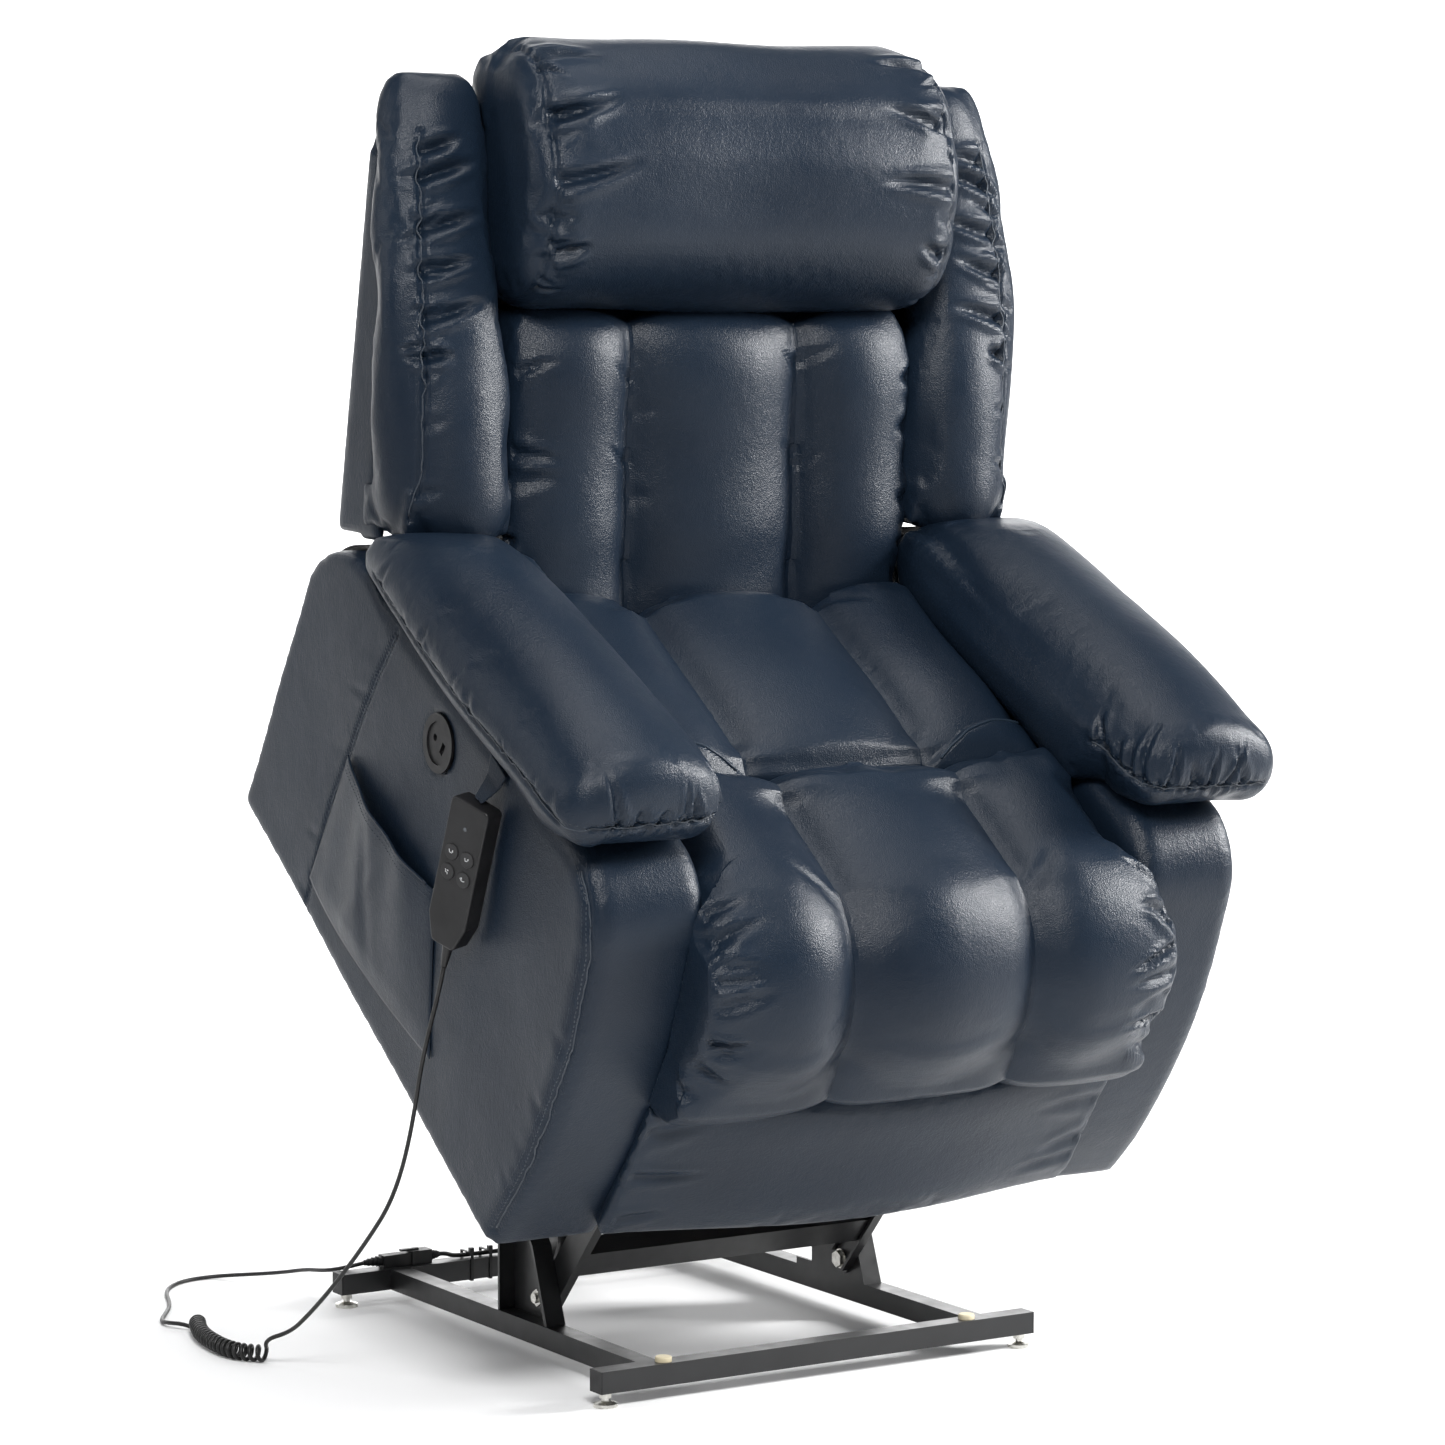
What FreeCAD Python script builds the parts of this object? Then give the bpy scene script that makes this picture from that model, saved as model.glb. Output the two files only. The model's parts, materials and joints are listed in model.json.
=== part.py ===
import FreeCAD, Part
import math
import os
import sys
import Sketcher
from FreeCAD import Placement, Rotation, Vector

# Lift recliner chair, shown raised on its lift base.
# Millimetres. X runs across the chair, -Y is the side that the sitter faces, +Z is up and the floor is
# at Z = 0.
# The base stands still. The seat group (arm boxes, seat, mechanism) is drawn level, as it sits when the
# chair is down, in a frame whose corner is the lower front corner of the arm boxes, and is then placed
# as the raised lift arms carry it. The back is drawn upright along its own lean, from its hinge.

DOCUMENT = FreeCAD.newDocument("lift_recliner_chair")
SHEET = DOCUMENT.addObject("Spreadsheet::Sheet", "Sizes")
WORKED = DOCUMENT.addObject("Spreadsheet::Sheet", "Worked")

SIZES = (
    ("tube_size", 25.0, "outside of the square base tube"),
    ("tube_wall", 1.6, "wall of the square tubes"),
    ("front_tube_length", 582.0, "front base tube over its end caps"),
    ("rear_tube_length", 597.0, "rear base tube over its end caps"),
    ("base_depth", 630.0, "front face of the front tube to rear face of the rear tube"),
    ("base_ahead", 182.3, "from the origin forward to the front face of the base"),
    ("rail_spread", 464.0, "over the outer faces of the two side rails"),
    ("foot_height", 16.7, "floor to the underside of the tubes"),
    ("foot_radius", 13.5, "levelling foot disc"),
    ("foot_disc", 6.0, "thickness of the foot disc"),
    ("foot_inset", 12.5, "foot axis from the end of its tube"),
    ("stem_radius", 4.0, "threaded stem of a foot"),
    ("nut_across", 13.0, "locknut across flats"),
    ("cap_plate", 2.0, "visible thickness of a tube end cap"),
    ("cap_plug", 12.0, "depth of the end cap inside the tube"),
    ("bumper_radius", 9.5, "rubber bumper on the front tube"),
    ("bumper_height", 5.8, "rubber bumper on the front tube"),
    ("bumper_spread", 204.0, "bumper from the middle of the chair"),
    ("bracket_foot_front", 227.0, "pivot bracket foot, front end, from the base's front face"),
    ("bracket_foot_rear", 342.0, "pivot bracket foot, rear end, from the base's front face"),
    ("bracket_height", 176.0, "top of the pivot bracket above the floor"),
    ("bracket_web", 4.0, "plate thickness of the pivot bracket"),
    ("bracket_flange", 20.6, "reach of the bracket's edge flanges"),
    ("bracket_inset", 1.6, "inner face of the bracket web, inwards from the rail's inner face"),
    ("pivot_depth", 270.0, "lower lift pivot from the base's front face"),
    ("pivot_height", 67.0, "lower lift pivot above the floor"),
    ("link_depth", 320.0, "upper link pivot from the base's front face"),
    ("link_height", 150.0, "upper link pivot above the floor"),
    ("arm_length", 275.4, "lift arm between its pivots"),
    ("arm_rise", 48.1, "raised lift arm above the horizontal, degrees"),
    ("arm_half", 18.0, "half width of the lift arm"),
    ("arm_plate", 4.0, "thickness of the lift arm"),
    ("arm_flange", 7.5, "reach of the lift arm's edge flanges"),
    ("arm_play", 0.4, "side gap between a lift arm and its bracket"),
    ("beam_place", 72.0, "cross beam from the lower pivot, along the arm"),
    ("beam_wide", 40.0, "cross beam along the arm"),
    ("beam_tall", 26.0, "cross beam across the arm"),
    ("link_half", 13.0, "half width of the upper link"),
    ("link_plate", 5.0, "thickness of the upper link"),
    ("bolt_radius", 6.0, "pivot bolts"),
    ("running_gap", 0.06, "radial play of a pivot bolt in its hole"),
    ("near_gap", 0.3, "standing gap between pieces that lie against each other"),
    ("tilt", 36.28, "raised seat above level, degrees"),
    ("mech_inset", 19.0, "inner face of the mechanism plates, inwards from the lift arms' outer face"),
    ("mech_plate", 6.0, "thickness of the mechanism plates"),
    ("arm_pin_s", 105.0, "lift arm pin, back from the arm box corner"),
    ("arm_pin_n", 22.0, "lift arm pin, above the arm box corner"),
    ("link_pin_s", 150.0, "upper link pin, back from the corner"),
    ("link_pin_n", 60.0, "upper link pin, above the corner"),
    ("motor_pin_depth", 590.0, "lift motor pin from the base's front face"),
    ("motor_pin_height", 70.0, "lift motor pin above the floor"),
    ("rod_pin_s", 220.0, "lift rod pin, back from the corner"),
    ("rod_pin_n", 80.0, "lift rod pin, above the corner"),
    ("recline_motor_s", 232.0, "recline motor pin, back from the corner"),
    ("recline_motor_n", 165.0, "recline motor pin, above the corner"),
    ("recline_rod_s", 600.0, "recline rod pin on the back's lever, back from the corner"),
    ("recline_rod_n", 170.0, "recline rod pin on the back's lever, above the corner"),
    ("motor_pin_radius", 5.0, "actuator pins"),
    ("motor_tube_radius", 19.0, "outer tube of an actuator"),
    ("motor_rod_radius", 9.5, "rod of an actuator"),
    ("motor_can_radius", 23.0, "motor can of an actuator"),
    ("tongue_half", 4.0, "half thickness of the tongue that a rod fork straddles"),
    ("fork_gap", 0.4, "side play of a rod fork on its tongue"),
    ("fork_depth", 32.0, "rod pin to the bottom of the fork's slot"),
    ("panel_in", 280.0, "inner face of an arm box from the middle"),
    ("panel_out", 425.0, "outer face of an arm box from the middle"),
    ("panel_depth", 731.0, "arm box along its lower edge"),
    ("panel_wall", 14.0, "board and padding of an arm box"),
    ("panel_round", 26.0, "rounding of the arm box's front edges"),
    ("back_pin_s", 640.0, "back hinge, back from the corner"),
    ("back_pin_n", 300.0, "back hinge, above the corner"),
    ("back_lean", 30.0, "lean of the upright back from level seat, degrees"),
    ("heel_round", 116.5, "arm box's upper rear corner about the back hinge"),
    ("knee_pin_s", 60.0, "footrest hinge, back from the corner"),
    ("knee_pin_n", 330.0, "footrest hinge, above the corner"),
    ("knee_round", 138.0, "crown of the leg pad about the footrest hinge"),
    ("knee_inner", 100.0, "inside of the leg pad about the footrest hinge"),
    ("knee_seam", 115.0, "seam depth of the leg pad about the footrest hinge"),
    ("seam_place", 117.0, "lengthwise seams of seat and leg pad from the middle"),
    ("pad_half", 277.0, "half width of the seat and leg pads"),
    ("pad_rear", 250.0, "rear edge of the front seat pad"),
    ("cushion_half", 270.0, "half width of the seat cushion"),
    ("cushion_base", 292.5, "underside of the seat cushion above the corner"),
    ("cushion_top", 432.0, "seam height of the seat cushion above the corner"),
    ("cushion_crown", 14.0, "swell of each seat channel above its seams"),
    ("back_half", 262.0, "half width of the back cushion"),
    ("shell_half", 400.0, "half width of the back shell"),
    ("shell_wall", 12.0, "board and padding of the back shell"),
    ("pillow_half", 277.0, "half width of the head pillow"),
    ("board_half", 289.0, "half width of the footrest board"),
    ("board_low", 24.0, "lower edge of the footrest board above the corner"),
    ("board_high", 221.0, "upper edge of the footrest board above the corner"),
    ("rail_wood", 20.0, "thickness of the wooden seat rails"),
    ("spring_wire", 4.0, "wire of the zigzag seat springs"),
    ("spring_swing", 21.0, "half width of a zigzag spring"),
    ("spring_count", 5.0, "zigzag springs side by side"),
    ("spring_waves", 10.0, "half waves of a zigzag spring"),
    ("outlet_s", 400.0, "power outlet, back from the corner"),
    ("outlet_n", 375.0, "power outlet, above the corner"),
    ("outlet_radius", 33.0, "power outlet ring"),
    ("handset_s", 270.0, "handset hook, back from the corner"),
    ("handset_n", 405.7, "handset hook, above the corner"),
    ("handset_clear", 0.5, "gap between the handset's nearest corner and the arm box"),
    ("handset_lean", 13.5, "handset's lean from the arm box's upright, degrees"),
    ("handset_yaw", 20.0, "handset turned to the front, degrees"),
    ("handset_long", 172.0, "handset length"),
    ("handset_wide", 54.0, "handset width"),
    ("handset_thick", 24.0, "handset thickness"),
    ("handset_wall", 2.4, "handset shell wall"),
    ("button_radius", 9.0, "handset buttons"),
    ("button_proud", 1.6, "handset buttons above the face"),
    ("cord_radius", 2.5, "handset cord"),
    ("curl_outer", 10.5, "outside radius of the curly stretch"),
    ("curl_turns", 21.0, "whole turns of the curly stretch"),
    ("curl_start", 115.0, "where the first turn starts, degrees up from the inner side"),
    ("curl_end", 295.0, "where the last turn ends, degrees up from the inner side"),
)

STANDS_ALONE = ("Part::Cut", "Part::MultiFuse", "Part::Feature", "PartDesign::Body")
WORK_NOTES = {}
NODES = []
MIRRORED = set()


def fill_sheet():
    for row, (name, value, note) in enumerate(SIZES, start=1):
        SHEET.set(f"A{row}", name)
        SHEET.set(f"B{row}", str(value))
        SHEET.set(f"C{row}", note)
        SHEET.setAlias(f"B{row}", name)
    DOCUMENT.recompute()


def size(name):
    return float(SHEET.get(name))


def work(name, value):
    """Keeps a value worked out from the driving sizes under a name of its own."""
    row = len(WORK_NOTES) + 1
    WORK_NOTES[name] = row
    WORKED.set(f"A{row}", name)
    WORKED.set(f"B{row}", repr(float(value)))
    WORKED.setAlias(f"B{row}", name)
    return float(value)


def box(name, across, along, up):
    """A block between two places on each axis, every place an expression of the sheet."""
    block = DOCUMENT.addObject("Part::Box", name)
    for side, axis, (low, high) in zip(("Length", "Width", "Height"), "xyz", (across, along, up)):
        block.setExpression(side, f"({high}) - ({low})")
        block.setExpression(f"Placement.Base.{axis}", f"{low}")
    return block


CYLINDER_TURNS = {
    "x": Rotation(Vector(0, 1, 0), 90),
    "y": Rotation(Vector(1, 0, 0), -90),
    "z": Rotation(),
}


def cylinder(name, axis, radius, centre, span):
    """A cylinder along an axis; centre gives the other two coordinates in their X, Y, Z order."""
    round_bar = DOCUMENT.addObject("Part::Cylinder", name)
    round_bar.Placement = Placement(Vector(), CYLINDER_TURNS[axis])
    round_bar.setExpression("Radius", f"{radius}")
    round_bar.setExpression("Height", f"({span[1]}) - ({span[0]})")
    round_bar.setExpression(f"Placement.Base.{axis}", f"{span[0]}")
    for other, place in zip([letter for letter in "xyz" if letter != axis], centre):
        round_bar.setExpression(f"Placement.Base.{other}", f"{place}")
    return round_bar


def hexagon(name, axis, across, centre, span):
    """A hexagonal prism along X or Z, as a bolt head or a nut."""
    prism = DOCUMENT.addObject("Part::Prism", name)
    prism.Polygon = 6
    prism.Placement = Placement(Vector(), CYLINDER_TURNS[axis])
    prism.setExpression("Circumradius", f"({across}) / sqrt(3)")
    prism.setExpression("Height", f"({span[1]}) - ({span[0]})")
    prism.setExpression(f"Placement.Base.{axis}", f"{span[0]}")
    for other, place in zip([letter for letter in "xyz" if letter != axis], centre):
        prism.setExpression(f"Placement.Base.{other}", f"{place}")
    return prism


def fuse(name, *pieces):
    joined = DOCUMENT.addObject("Part::MultiFuse", name)
    joined.Shapes = list(pieces)
    joined.Refine = True
    return joined


def cut(name, base, *tools):
    result = DOCUMENT.addObject("Part::Cut", name)
    result.Base = base
    result.Tool = tools[0] if len(tools) == 1 else fuse(name + "_tools", *tools)
    result.Refine = True
    return result


def mirror(source):
    """The same piece on the other side of the chair."""
    other = DOCUMENT.addObject("Part::Mirroring", source.Name + "_left")
    other.Source = source
    MIRRORED.add(source.Name)
    other.Normal = Vector(1, 0, 0)
    return other


def plate(name, corners, span, holes=()):
    """A plate that stands in the YZ plane, padded along X over span, with round holes (y, z, radius)."""
    body = DOCUMENT.addObject("PartDesign::Body", name)
    sketch = body.newObject("Sketcher::SketchObject", name + "_sketch")
    side_plane = [part for part in body.Origin.OriginFeatures if part.Role == "YZ_Plane"][0]
    sketch.AttachmentSupport = [(side_plane, "")]
    sketch.MapMode = "FlatFace"
    sketch.setExpression("AttachmentOffset.Base.z", f"{span[0]}")
    count = len(corners)
    ring = [
        Vector(math.cos(math.tau * turn / count), math.sin(math.tau * turn / count), 0) * 50
        for turn in range(count)
    ]
    for number in range(count):
        sketch.addGeometry(Part.LineSegment(ring[number], ring[(number + 1) % count]), False)
    for number in range(count):
        sketch.addConstraint(Sketcher.Constraint("Coincident", number, 2, (number + 1) % count, 1))
    for number, (along, up) in enumerate(corners):
        hold_point(sketch, number, 1, along, up)
    for along, up, radius in holes:
        circle = sketch.addGeometry(Part.Circle(Vector(0, 0, 0), Vector(0, 0, 1), 5), False)
        hold_point(sketch, circle, 3, along, up)
        held = sketch.addConstraint(Sketcher.Constraint("Radius", circle, 5.0))
        sketch.setExpression(f"Constraints[{held}]", f"{radius}")
    pad = body.newObject("PartDesign::Pad", name + "_pad")
    pad.Profile = sketch
    pad.setExpression("Length", f"({span[1]}) - ({span[0]})")
    return body


def hold_point(sketch, geometry, point, along, up):
    for kind, words in (("DistanceX", along), ("DistanceY", up)):
        held = sketch.addConstraint(Sketcher.Constraint(kind, -1, 1, geometry, point, 10.0))
        sketch.setExpression(f"Constraints[{held}]", f"{words}")


def feature(name, shape):
    """A form that no primitive makes, built by the functions below from the sheet's sizes."""
    thing = DOCUMENT.addObject("Part::Feature", name)
    thing.Shape = shape
    return thing


def node(name, *pieces, place=None):
    """One named sub-part: its separate solids together, put where it belongs."""
    alone = len(pieces) == 1 and pieces[0].TypeId in STANDS_ALONE and pieces[0].Name not in MIRRORED
    whole = pieces[0] if alone else DOCUMENT.addObject("Part::Compound", "node_" + name)
    whole.Label = name
    if not alone:
        whole.Links = list(pieces)
    if place is not None:
        whole.Placement = place
    NODES.append(whole)
    return whole


def turn_x(degrees):
    return Rotation(Vector(1, 0, 0), degrees)


fill_sheet()

# Places that follow from the driving sizes
FRONT = -size("base_ahead")
PIVOT = Vector(0, FRONT + size("pivot_depth"), size("pivot_height"))
LINK_PIVOT = Vector(0, FRONT + size("link_depth"), size("link_height"))
MOTOR_PIN = Vector(0, FRONT + size("motor_pin_depth"), size("motor_pin_height"))
ARM_DIRECTION = Vector(
    0, -math.cos(math.radians(size("arm_rise"))), math.sin(math.radians(size("arm_rise")))
)
ARM_END = PIVOT + ARM_DIRECTION * size("arm_length")
ARM_PLACE = Placement(PIVOT, turn_x(180 - size("arm_rise")))
SEAT_TURN = turn_x(size("tilt"))
SEAT_CORNER = ARM_END - SEAT_TURN.multVec(Vector(0, size("arm_pin_s"), size("arm_pin_n")))
SEAT_PLACE = Placement(SEAT_CORNER, SEAT_TURN)
BACK_PIN = Vector(0, size("back_pin_s"), size("back_pin_n"))
BACK_LOCAL = Placement(BACK_PIN, turn_x(-size("back_lean")))
BACK_PLACE = SEAT_PLACE.multiply(BACK_LOCAL)
KNEE_PIN = Vector(0, size("knee_pin_s"), size("knee_pin_n"))


def seat_point(along, up):
    """A point of the level seat frame, as it stands on the raised chair."""
    return SEAT_PLACE.multVec(Vector(0, along, up))


def aim(start, end):
    """Placement at start whose +Y points to end, both in one YZ plane."""
    run = end - start
    return Placement(start, turn_x(math.degrees(math.atan2(run.z, run.y))))


LINK_END = seat_point(size("link_pin_s"), size("link_pin_n"))
ROD_END = seat_point(size("rod_pin_s"), size("rod_pin_n"))
LINK_PLACE = aim(LINK_PIVOT, LINK_END)
LIFT_MOTOR_PLACE = aim(MOTOR_PIN, ROD_END)
RECLINE_START = Vector(0, size("recline_motor_s"), size("recline_motor_n"))
RECLINE_END = Vector(0, size("recline_rod_s"), size("recline_rod_n"))
RECLINE_MOTOR_PLACE = SEAT_PLACE.multiply(aim(RECLINE_START, RECLINE_END))
LEVER_POINT = BACK_LOCAL.inverse().multVec(RECLINE_END)

work("front", FRONT)
work("pivot_y", PIVOT.y)
work("link_y", LINK_PIVOT.y)
work("motor_y", MOTOR_PIN.y)
work("link_length", (LINK_END - LINK_PIVOT).Length)
work("lift_motor_length", (ROD_END - MOTOR_PIN).Length)
work("recline_motor_length", (RECLINE_END - RECLINE_START).Length)
work("lever_y", LEVER_POINT.y)
work("lever_z", LEVER_POINT.z)
work("rail_top", size("foot_height") + size("tube_size"))
BRACKET_IN = work("bracket_in", size("rail_spread") / 2 - size("tube_size") - size("bracket_inset"))
ARM_OUT = work("arm_out", BRACKET_IN - size("arm_play"))
MECH_IN = work("mech_in", ARM_OUT - size("mech_inset"))
work("mech_out", MECH_IN + size("mech_plate"))
YAW = math.radians(size("handset_yaw"))
HANDSET_REACH = size("handset_wide") / 2 * math.sin(YAW) + size("handset_thick") / 2 * math.cos(YAW)
HANDSET_OUT = size("panel_out") + size("handset_clear") + HANDSET_REACH
DOCUMENT.recompute()


# Base frame


def base_tube(name, length, near):
    """A square tube across the base, its ends left open for the caps and its floor drilled for the feet."""
    half = f"Sizes.{length} / 2 - Sizes.cap_plate"
    outer = box(
        name + "_outer",
        (f"-({half})", half),
        (near, f"{near} + Sizes.tube_size"),
        ("Sizes.foot_height", "Worked.rail_top"),
    )
    inner = box(
        name + "_inner",
        (f"-({half}) - 1", f"{half} + 1"),
        (f"{near} + Sizes.tube_wall", f"{near} + Sizes.tube_size - Sizes.tube_wall"),
        ("Sizes.foot_height + Sizes.tube_wall", "Worked.rail_top - Sizes.tube_wall"),
    )
    drills = [
        cylinder(
            f"{name}_drill_{side}",
            "z",
            "Sizes.stem_radius + Sizes.near_gap",
            (f"{sign} * (Sizes.{length} / 2 - Sizes.foot_inset)", f"{near} + Sizes.tube_size / 2"),
            ("Sizes.foot_height - 1", "Sizes.foot_height + Sizes.tube_wall + 1"),
        )
        for side, sign in (("left", -1), ("right", 1))
    ]
    return cut(name + "_hollow", outer, inner, *drills)


def tube_cap(name, length, near, sign):
    """A pressed-in plastic cap that closes one end of a base tube, notched over the foot's stem."""
    end = f"Sizes.{length} / 2"
    start = f"{end} - Sizes.cap_plate"
    wall = "(Sizes.tube_wall + 0.15)"
    plug_low = f"{start} - Sizes.cap_plug"
    plug = box(
        name + "_plug",
        (f"-({start})", f"-({plug_low})") if sign < 0 else (plug_low, start),
        (f"{near} + {wall}", f"{near} + Sizes.tube_size - {wall}"),
        (f"Sizes.foot_height + {wall}", f"Worked.rail_top - {wall}"),
    )
    face = box(
        name + "_face",
        (f"-({end})", f"-({start})") if sign < 0 else (start, end),
        (near, f"{near} + Sizes.tube_size"),
        ("Sizes.foot_height", "Worked.rail_top"),
    )
    notch = cylinder(
        name + "_notch",
        "z",
        "Sizes.stem_radius + 1.5",
        (f"{sign} * ({end} - Sizes.foot_inset)", f"{near} + Sizes.tube_size / 2"),
        ("Sizes.foot_height - 1", "Worked.rail_top + 1"),
    )
    notched = cut(name + "_notched", plug, notch)
    return fuse(name + "_cap", notched, face)


def levelling_foot(name, length, near, sign):
    """Disc, threaded stem and the locknut that holds it against the tube."""
    centre = (f"{sign} * (Sizes.{length} / 2 - Sizes.foot_inset)", f"{near} + Sizes.tube_size / 2")
    disc = cylinder(name + "_disc", "z", "Sizes.foot_radius", centre, ("0", "Sizes.foot_disc - 2"))
    shoulder = DOCUMENT.addObject("Part::Cone", name + "_shoulder")
    shoulder.setExpression("Radius1", "Sizes.foot_radius")
    shoulder.setExpression("Radius2", "Sizes.foot_radius * 0.45")
    shoulder.Height = 2.5
    shoulder.setExpression("Placement.Base.x", centre[0])
    shoulder.setExpression("Placement.Base.y", centre[1])
    shoulder.setExpression("Placement.Base.z", "Sizes.foot_disc - 2")
    stem_span = ("1", "Sizes.foot_height + 14")
    stem = cylinder(name + "_stem", "z", "Sizes.stem_radius", centre, stem_span)
    nut_span = ("Sizes.foot_height - 6.5", "Sizes.foot_height")
    nut = hexagon(name + "_nut", "z", "Sizes.nut_across", centre, nut_span)
    bore = cylinder(
        name + "_bore", "z", "Sizes.stem_radius + Sizes.running_gap", centre, ("1", "Worked.rail_top")
    )
    foot = fuse(name + "_foot", disc, shoulder, stem)
    return foot, cut(name + "_locknut", nut, bore)


FRONT_NEAR = "Worked.front"
REAR_NEAR = "Worked.front + Sizes.base_depth - Sizes.tube_size"
TUBES = (("front", "front_tube_length", FRONT_NEAR), ("rear", "rear_tube_length", REAR_NEAR))


def build_base():
    caps = []
    feet = []
    for place, length, near in TUBES:
        node(f"base_{place}_tube", base_tube(f"{place}_tube", length, near))
        for side, sign in (("left", -1), ("right", 1)):
            caps.append(tube_cap(f"cap_{place}_{side}", length, near, sign))
            feet.extend(levelling_foot(f"foot_{place}_{side}", length, near, sign))
    node("tube_end_caps", *caps)
    node("levelling_feet", *feet)
    build_rails()
    build_brackets()
    bumper = cylinder(
        "bumper_disc",
        "z",
        "Sizes.bumper_radius",
        ("Sizes.bumper_spread", "Worked.front + Sizes.tube_size / 2"),
        ("Worked.rail_top", "Worked.rail_top + Sizes.bumper_height"),
    )
    rounded = DOCUMENT.addObject("Part::Fillet", "bumper_rounded")
    rounded.Base = bumper
    DOCUMENT.recompute()
    top_edges = [
        number
        for number, edge in enumerate(bumper.Shape.Edges, start=1)
        if edge.BoundBox.ZMin > size("foot_height") + size("tube_size") + size("bumper_height") - 0.01
    ]
    rounded.Edges = [(number, 2.0, 2.0) for number in top_edges]
    node("floor_bumpers", rounded, mirror(rounded))


def build_rails():
    outer = box(
        "rail_outer",
        ("Sizes.rail_spread / 2 - Sizes.tube_size", "Sizes.rail_spread / 2"),
        ("Worked.front + Sizes.tube_size", REAR_NEAR),
        ("Sizes.foot_height", "Worked.rail_top"),
    )
    inner = box(
        "rail_inner",
        (
            "Sizes.rail_spread / 2 - Sizes.tube_size + Sizes.tube_wall",
            "Sizes.rail_spread / 2 - Sizes.tube_wall",
        ),
        ("Worked.front + Sizes.tube_size - 1", f"{REAR_NEAR} + 1"),
        ("Sizes.foot_height + Sizes.tube_wall", "Worked.rail_top - Sizes.tube_wall"),
    )
    rail = cut("rail_tube", outer, inner)
    node("base_side_rails", rail, mirror(rail))


def build_brackets():
    """Pressed pivot brackets that stand on the rails: a web with a flange along its front and rear edges."""
    near = "Worked.front + Sizes.bracket_foot_front"
    far = "Worked.front + Sizes.bracket_foot_rear"
    low = "Worked.rail_top"
    top = "Sizes.bracket_height"
    shoulder = "(Worked.rail_top + 0.66 * (Sizes.bracket_height - Worked.rail_top))"
    outline = (
        (near, low),
        (far, low),
        (far, top),
        (f"{far} - 44", top),
        (f"{far} - 82", shoulder),
    )
    holes = (
        ("Worked.pivot_y", "Sizes.pivot_height", "Sizes.bolt_radius + Sizes.running_gap"),
        ("Worked.link_y", "Sizes.link_height", "Sizes.bolt_radius + Sizes.running_gap"),
    )
    span = ("Worked.bracket_in", "Worked.bracket_in + Sizes.bracket_web + Sizes.bracket_flange")
    solid = plate("bracket_block", outline, span, holes)
    edge = "Sizes.bracket_web"
    hollow_outline = (
        (f"{near} + {edge} * 1.2", f"{low} - 5"),
        (f"{far} - {edge}", f"{low} - 5"),
        (f"{far} - {edge}", f"{top} - {edge}"),
        (f"{far} - 44 + {edge} * 0.6", f"{top} - {edge}"),
        (f"{far} - 82 + {edge} * 1.2", shoulder),
    )
    hollow_span = ("Worked.bracket_in + Sizes.bracket_web", "Worked.bracket_in + Sizes.bracket_web + 60")
    hollow = plate("bracket_hollow", hollow_outline, hollow_span)
    bracket = cut("bracket_pressed", solid, hollow)
    tab = box(
        "bracket_tab",
        ("Worked.bracket_in", "Worked.bracket_in + Sizes.bracket_web"),
        (f"{far}", f"{far} + 34"),
        (low, f"{low} + 9"),
    )
    right = fuse("bracket_right", bracket, tab)
    node("pivot_brackets", right, mirror(bracket))
    pieces = []
    for label, along, up in (
        ("lower", "Worked.pivot_y", "Sizes.pivot_height"), ("upper", "Worked.link_y", "Sizes.link_height")
    ):
        pieces.extend(pivot_bolt(label, along, up))
    node("base_pivot_bolts", *pieces, *[mirror(piece) for piece in pieces])


def pivot_bolt(label, along, up):
    """Hex bolt from inside the arm out through the bracket, with its washer and nut."""
    plate_name = "link_plate" if label == "upper" else "arm_plate"
    inner_face = f"Worked.arm_out - Sizes.{plate_name}"
    seat = f"({inner_face} - Sizes.near_gap)"
    web = "(Worked.bracket_in + Sizes.bracket_web)"
    shank = cylinder(f"bolt_{label}_shank", "x", "Sizes.bolt_radius", (along, up), (seat, f"{web} + 14"))
    collar = cylinder(
        f"bolt_{label}_collar", "x", "Sizes.bolt_radius * 2", (along, up), (f"{seat} - 1.6", seat)
    )
    head = hexagon(
        f"bolt_{label}_head", "x", "Sizes.bolt_radius * 3", (along, up), (f"{seat} - 7.3", f"{seat} - 1.6")
    )
    bolt = fuse(f"bolt_{label}", shank, collar, head)
    washer = cylinder(
        f"bolt_{label}_washer", "x", "Sizes.bolt_radius * 2", (along, up), (web, f"{web} + 1.6")
    )
    nut = hexagon(
        f"bolt_{label}_nut", "x", "Sizes.bolt_radius * 3", (along, up), (f"{web} + 1.6", f"{web} + 10")
    )
    stack = fuse(f"bolt_{label}_stack", washer, nut)
    bore = cylinder(
        f"bolt_{label}_bore",
        "x",
        "Sizes.bolt_radius + Sizes.running_gap",
        (along, up),
        (seat, f"{web} + 20"),
    )
    return bolt, cut(f"bolt_{label}_fixing", stack, bore)


# Lift arms and upper links


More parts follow.
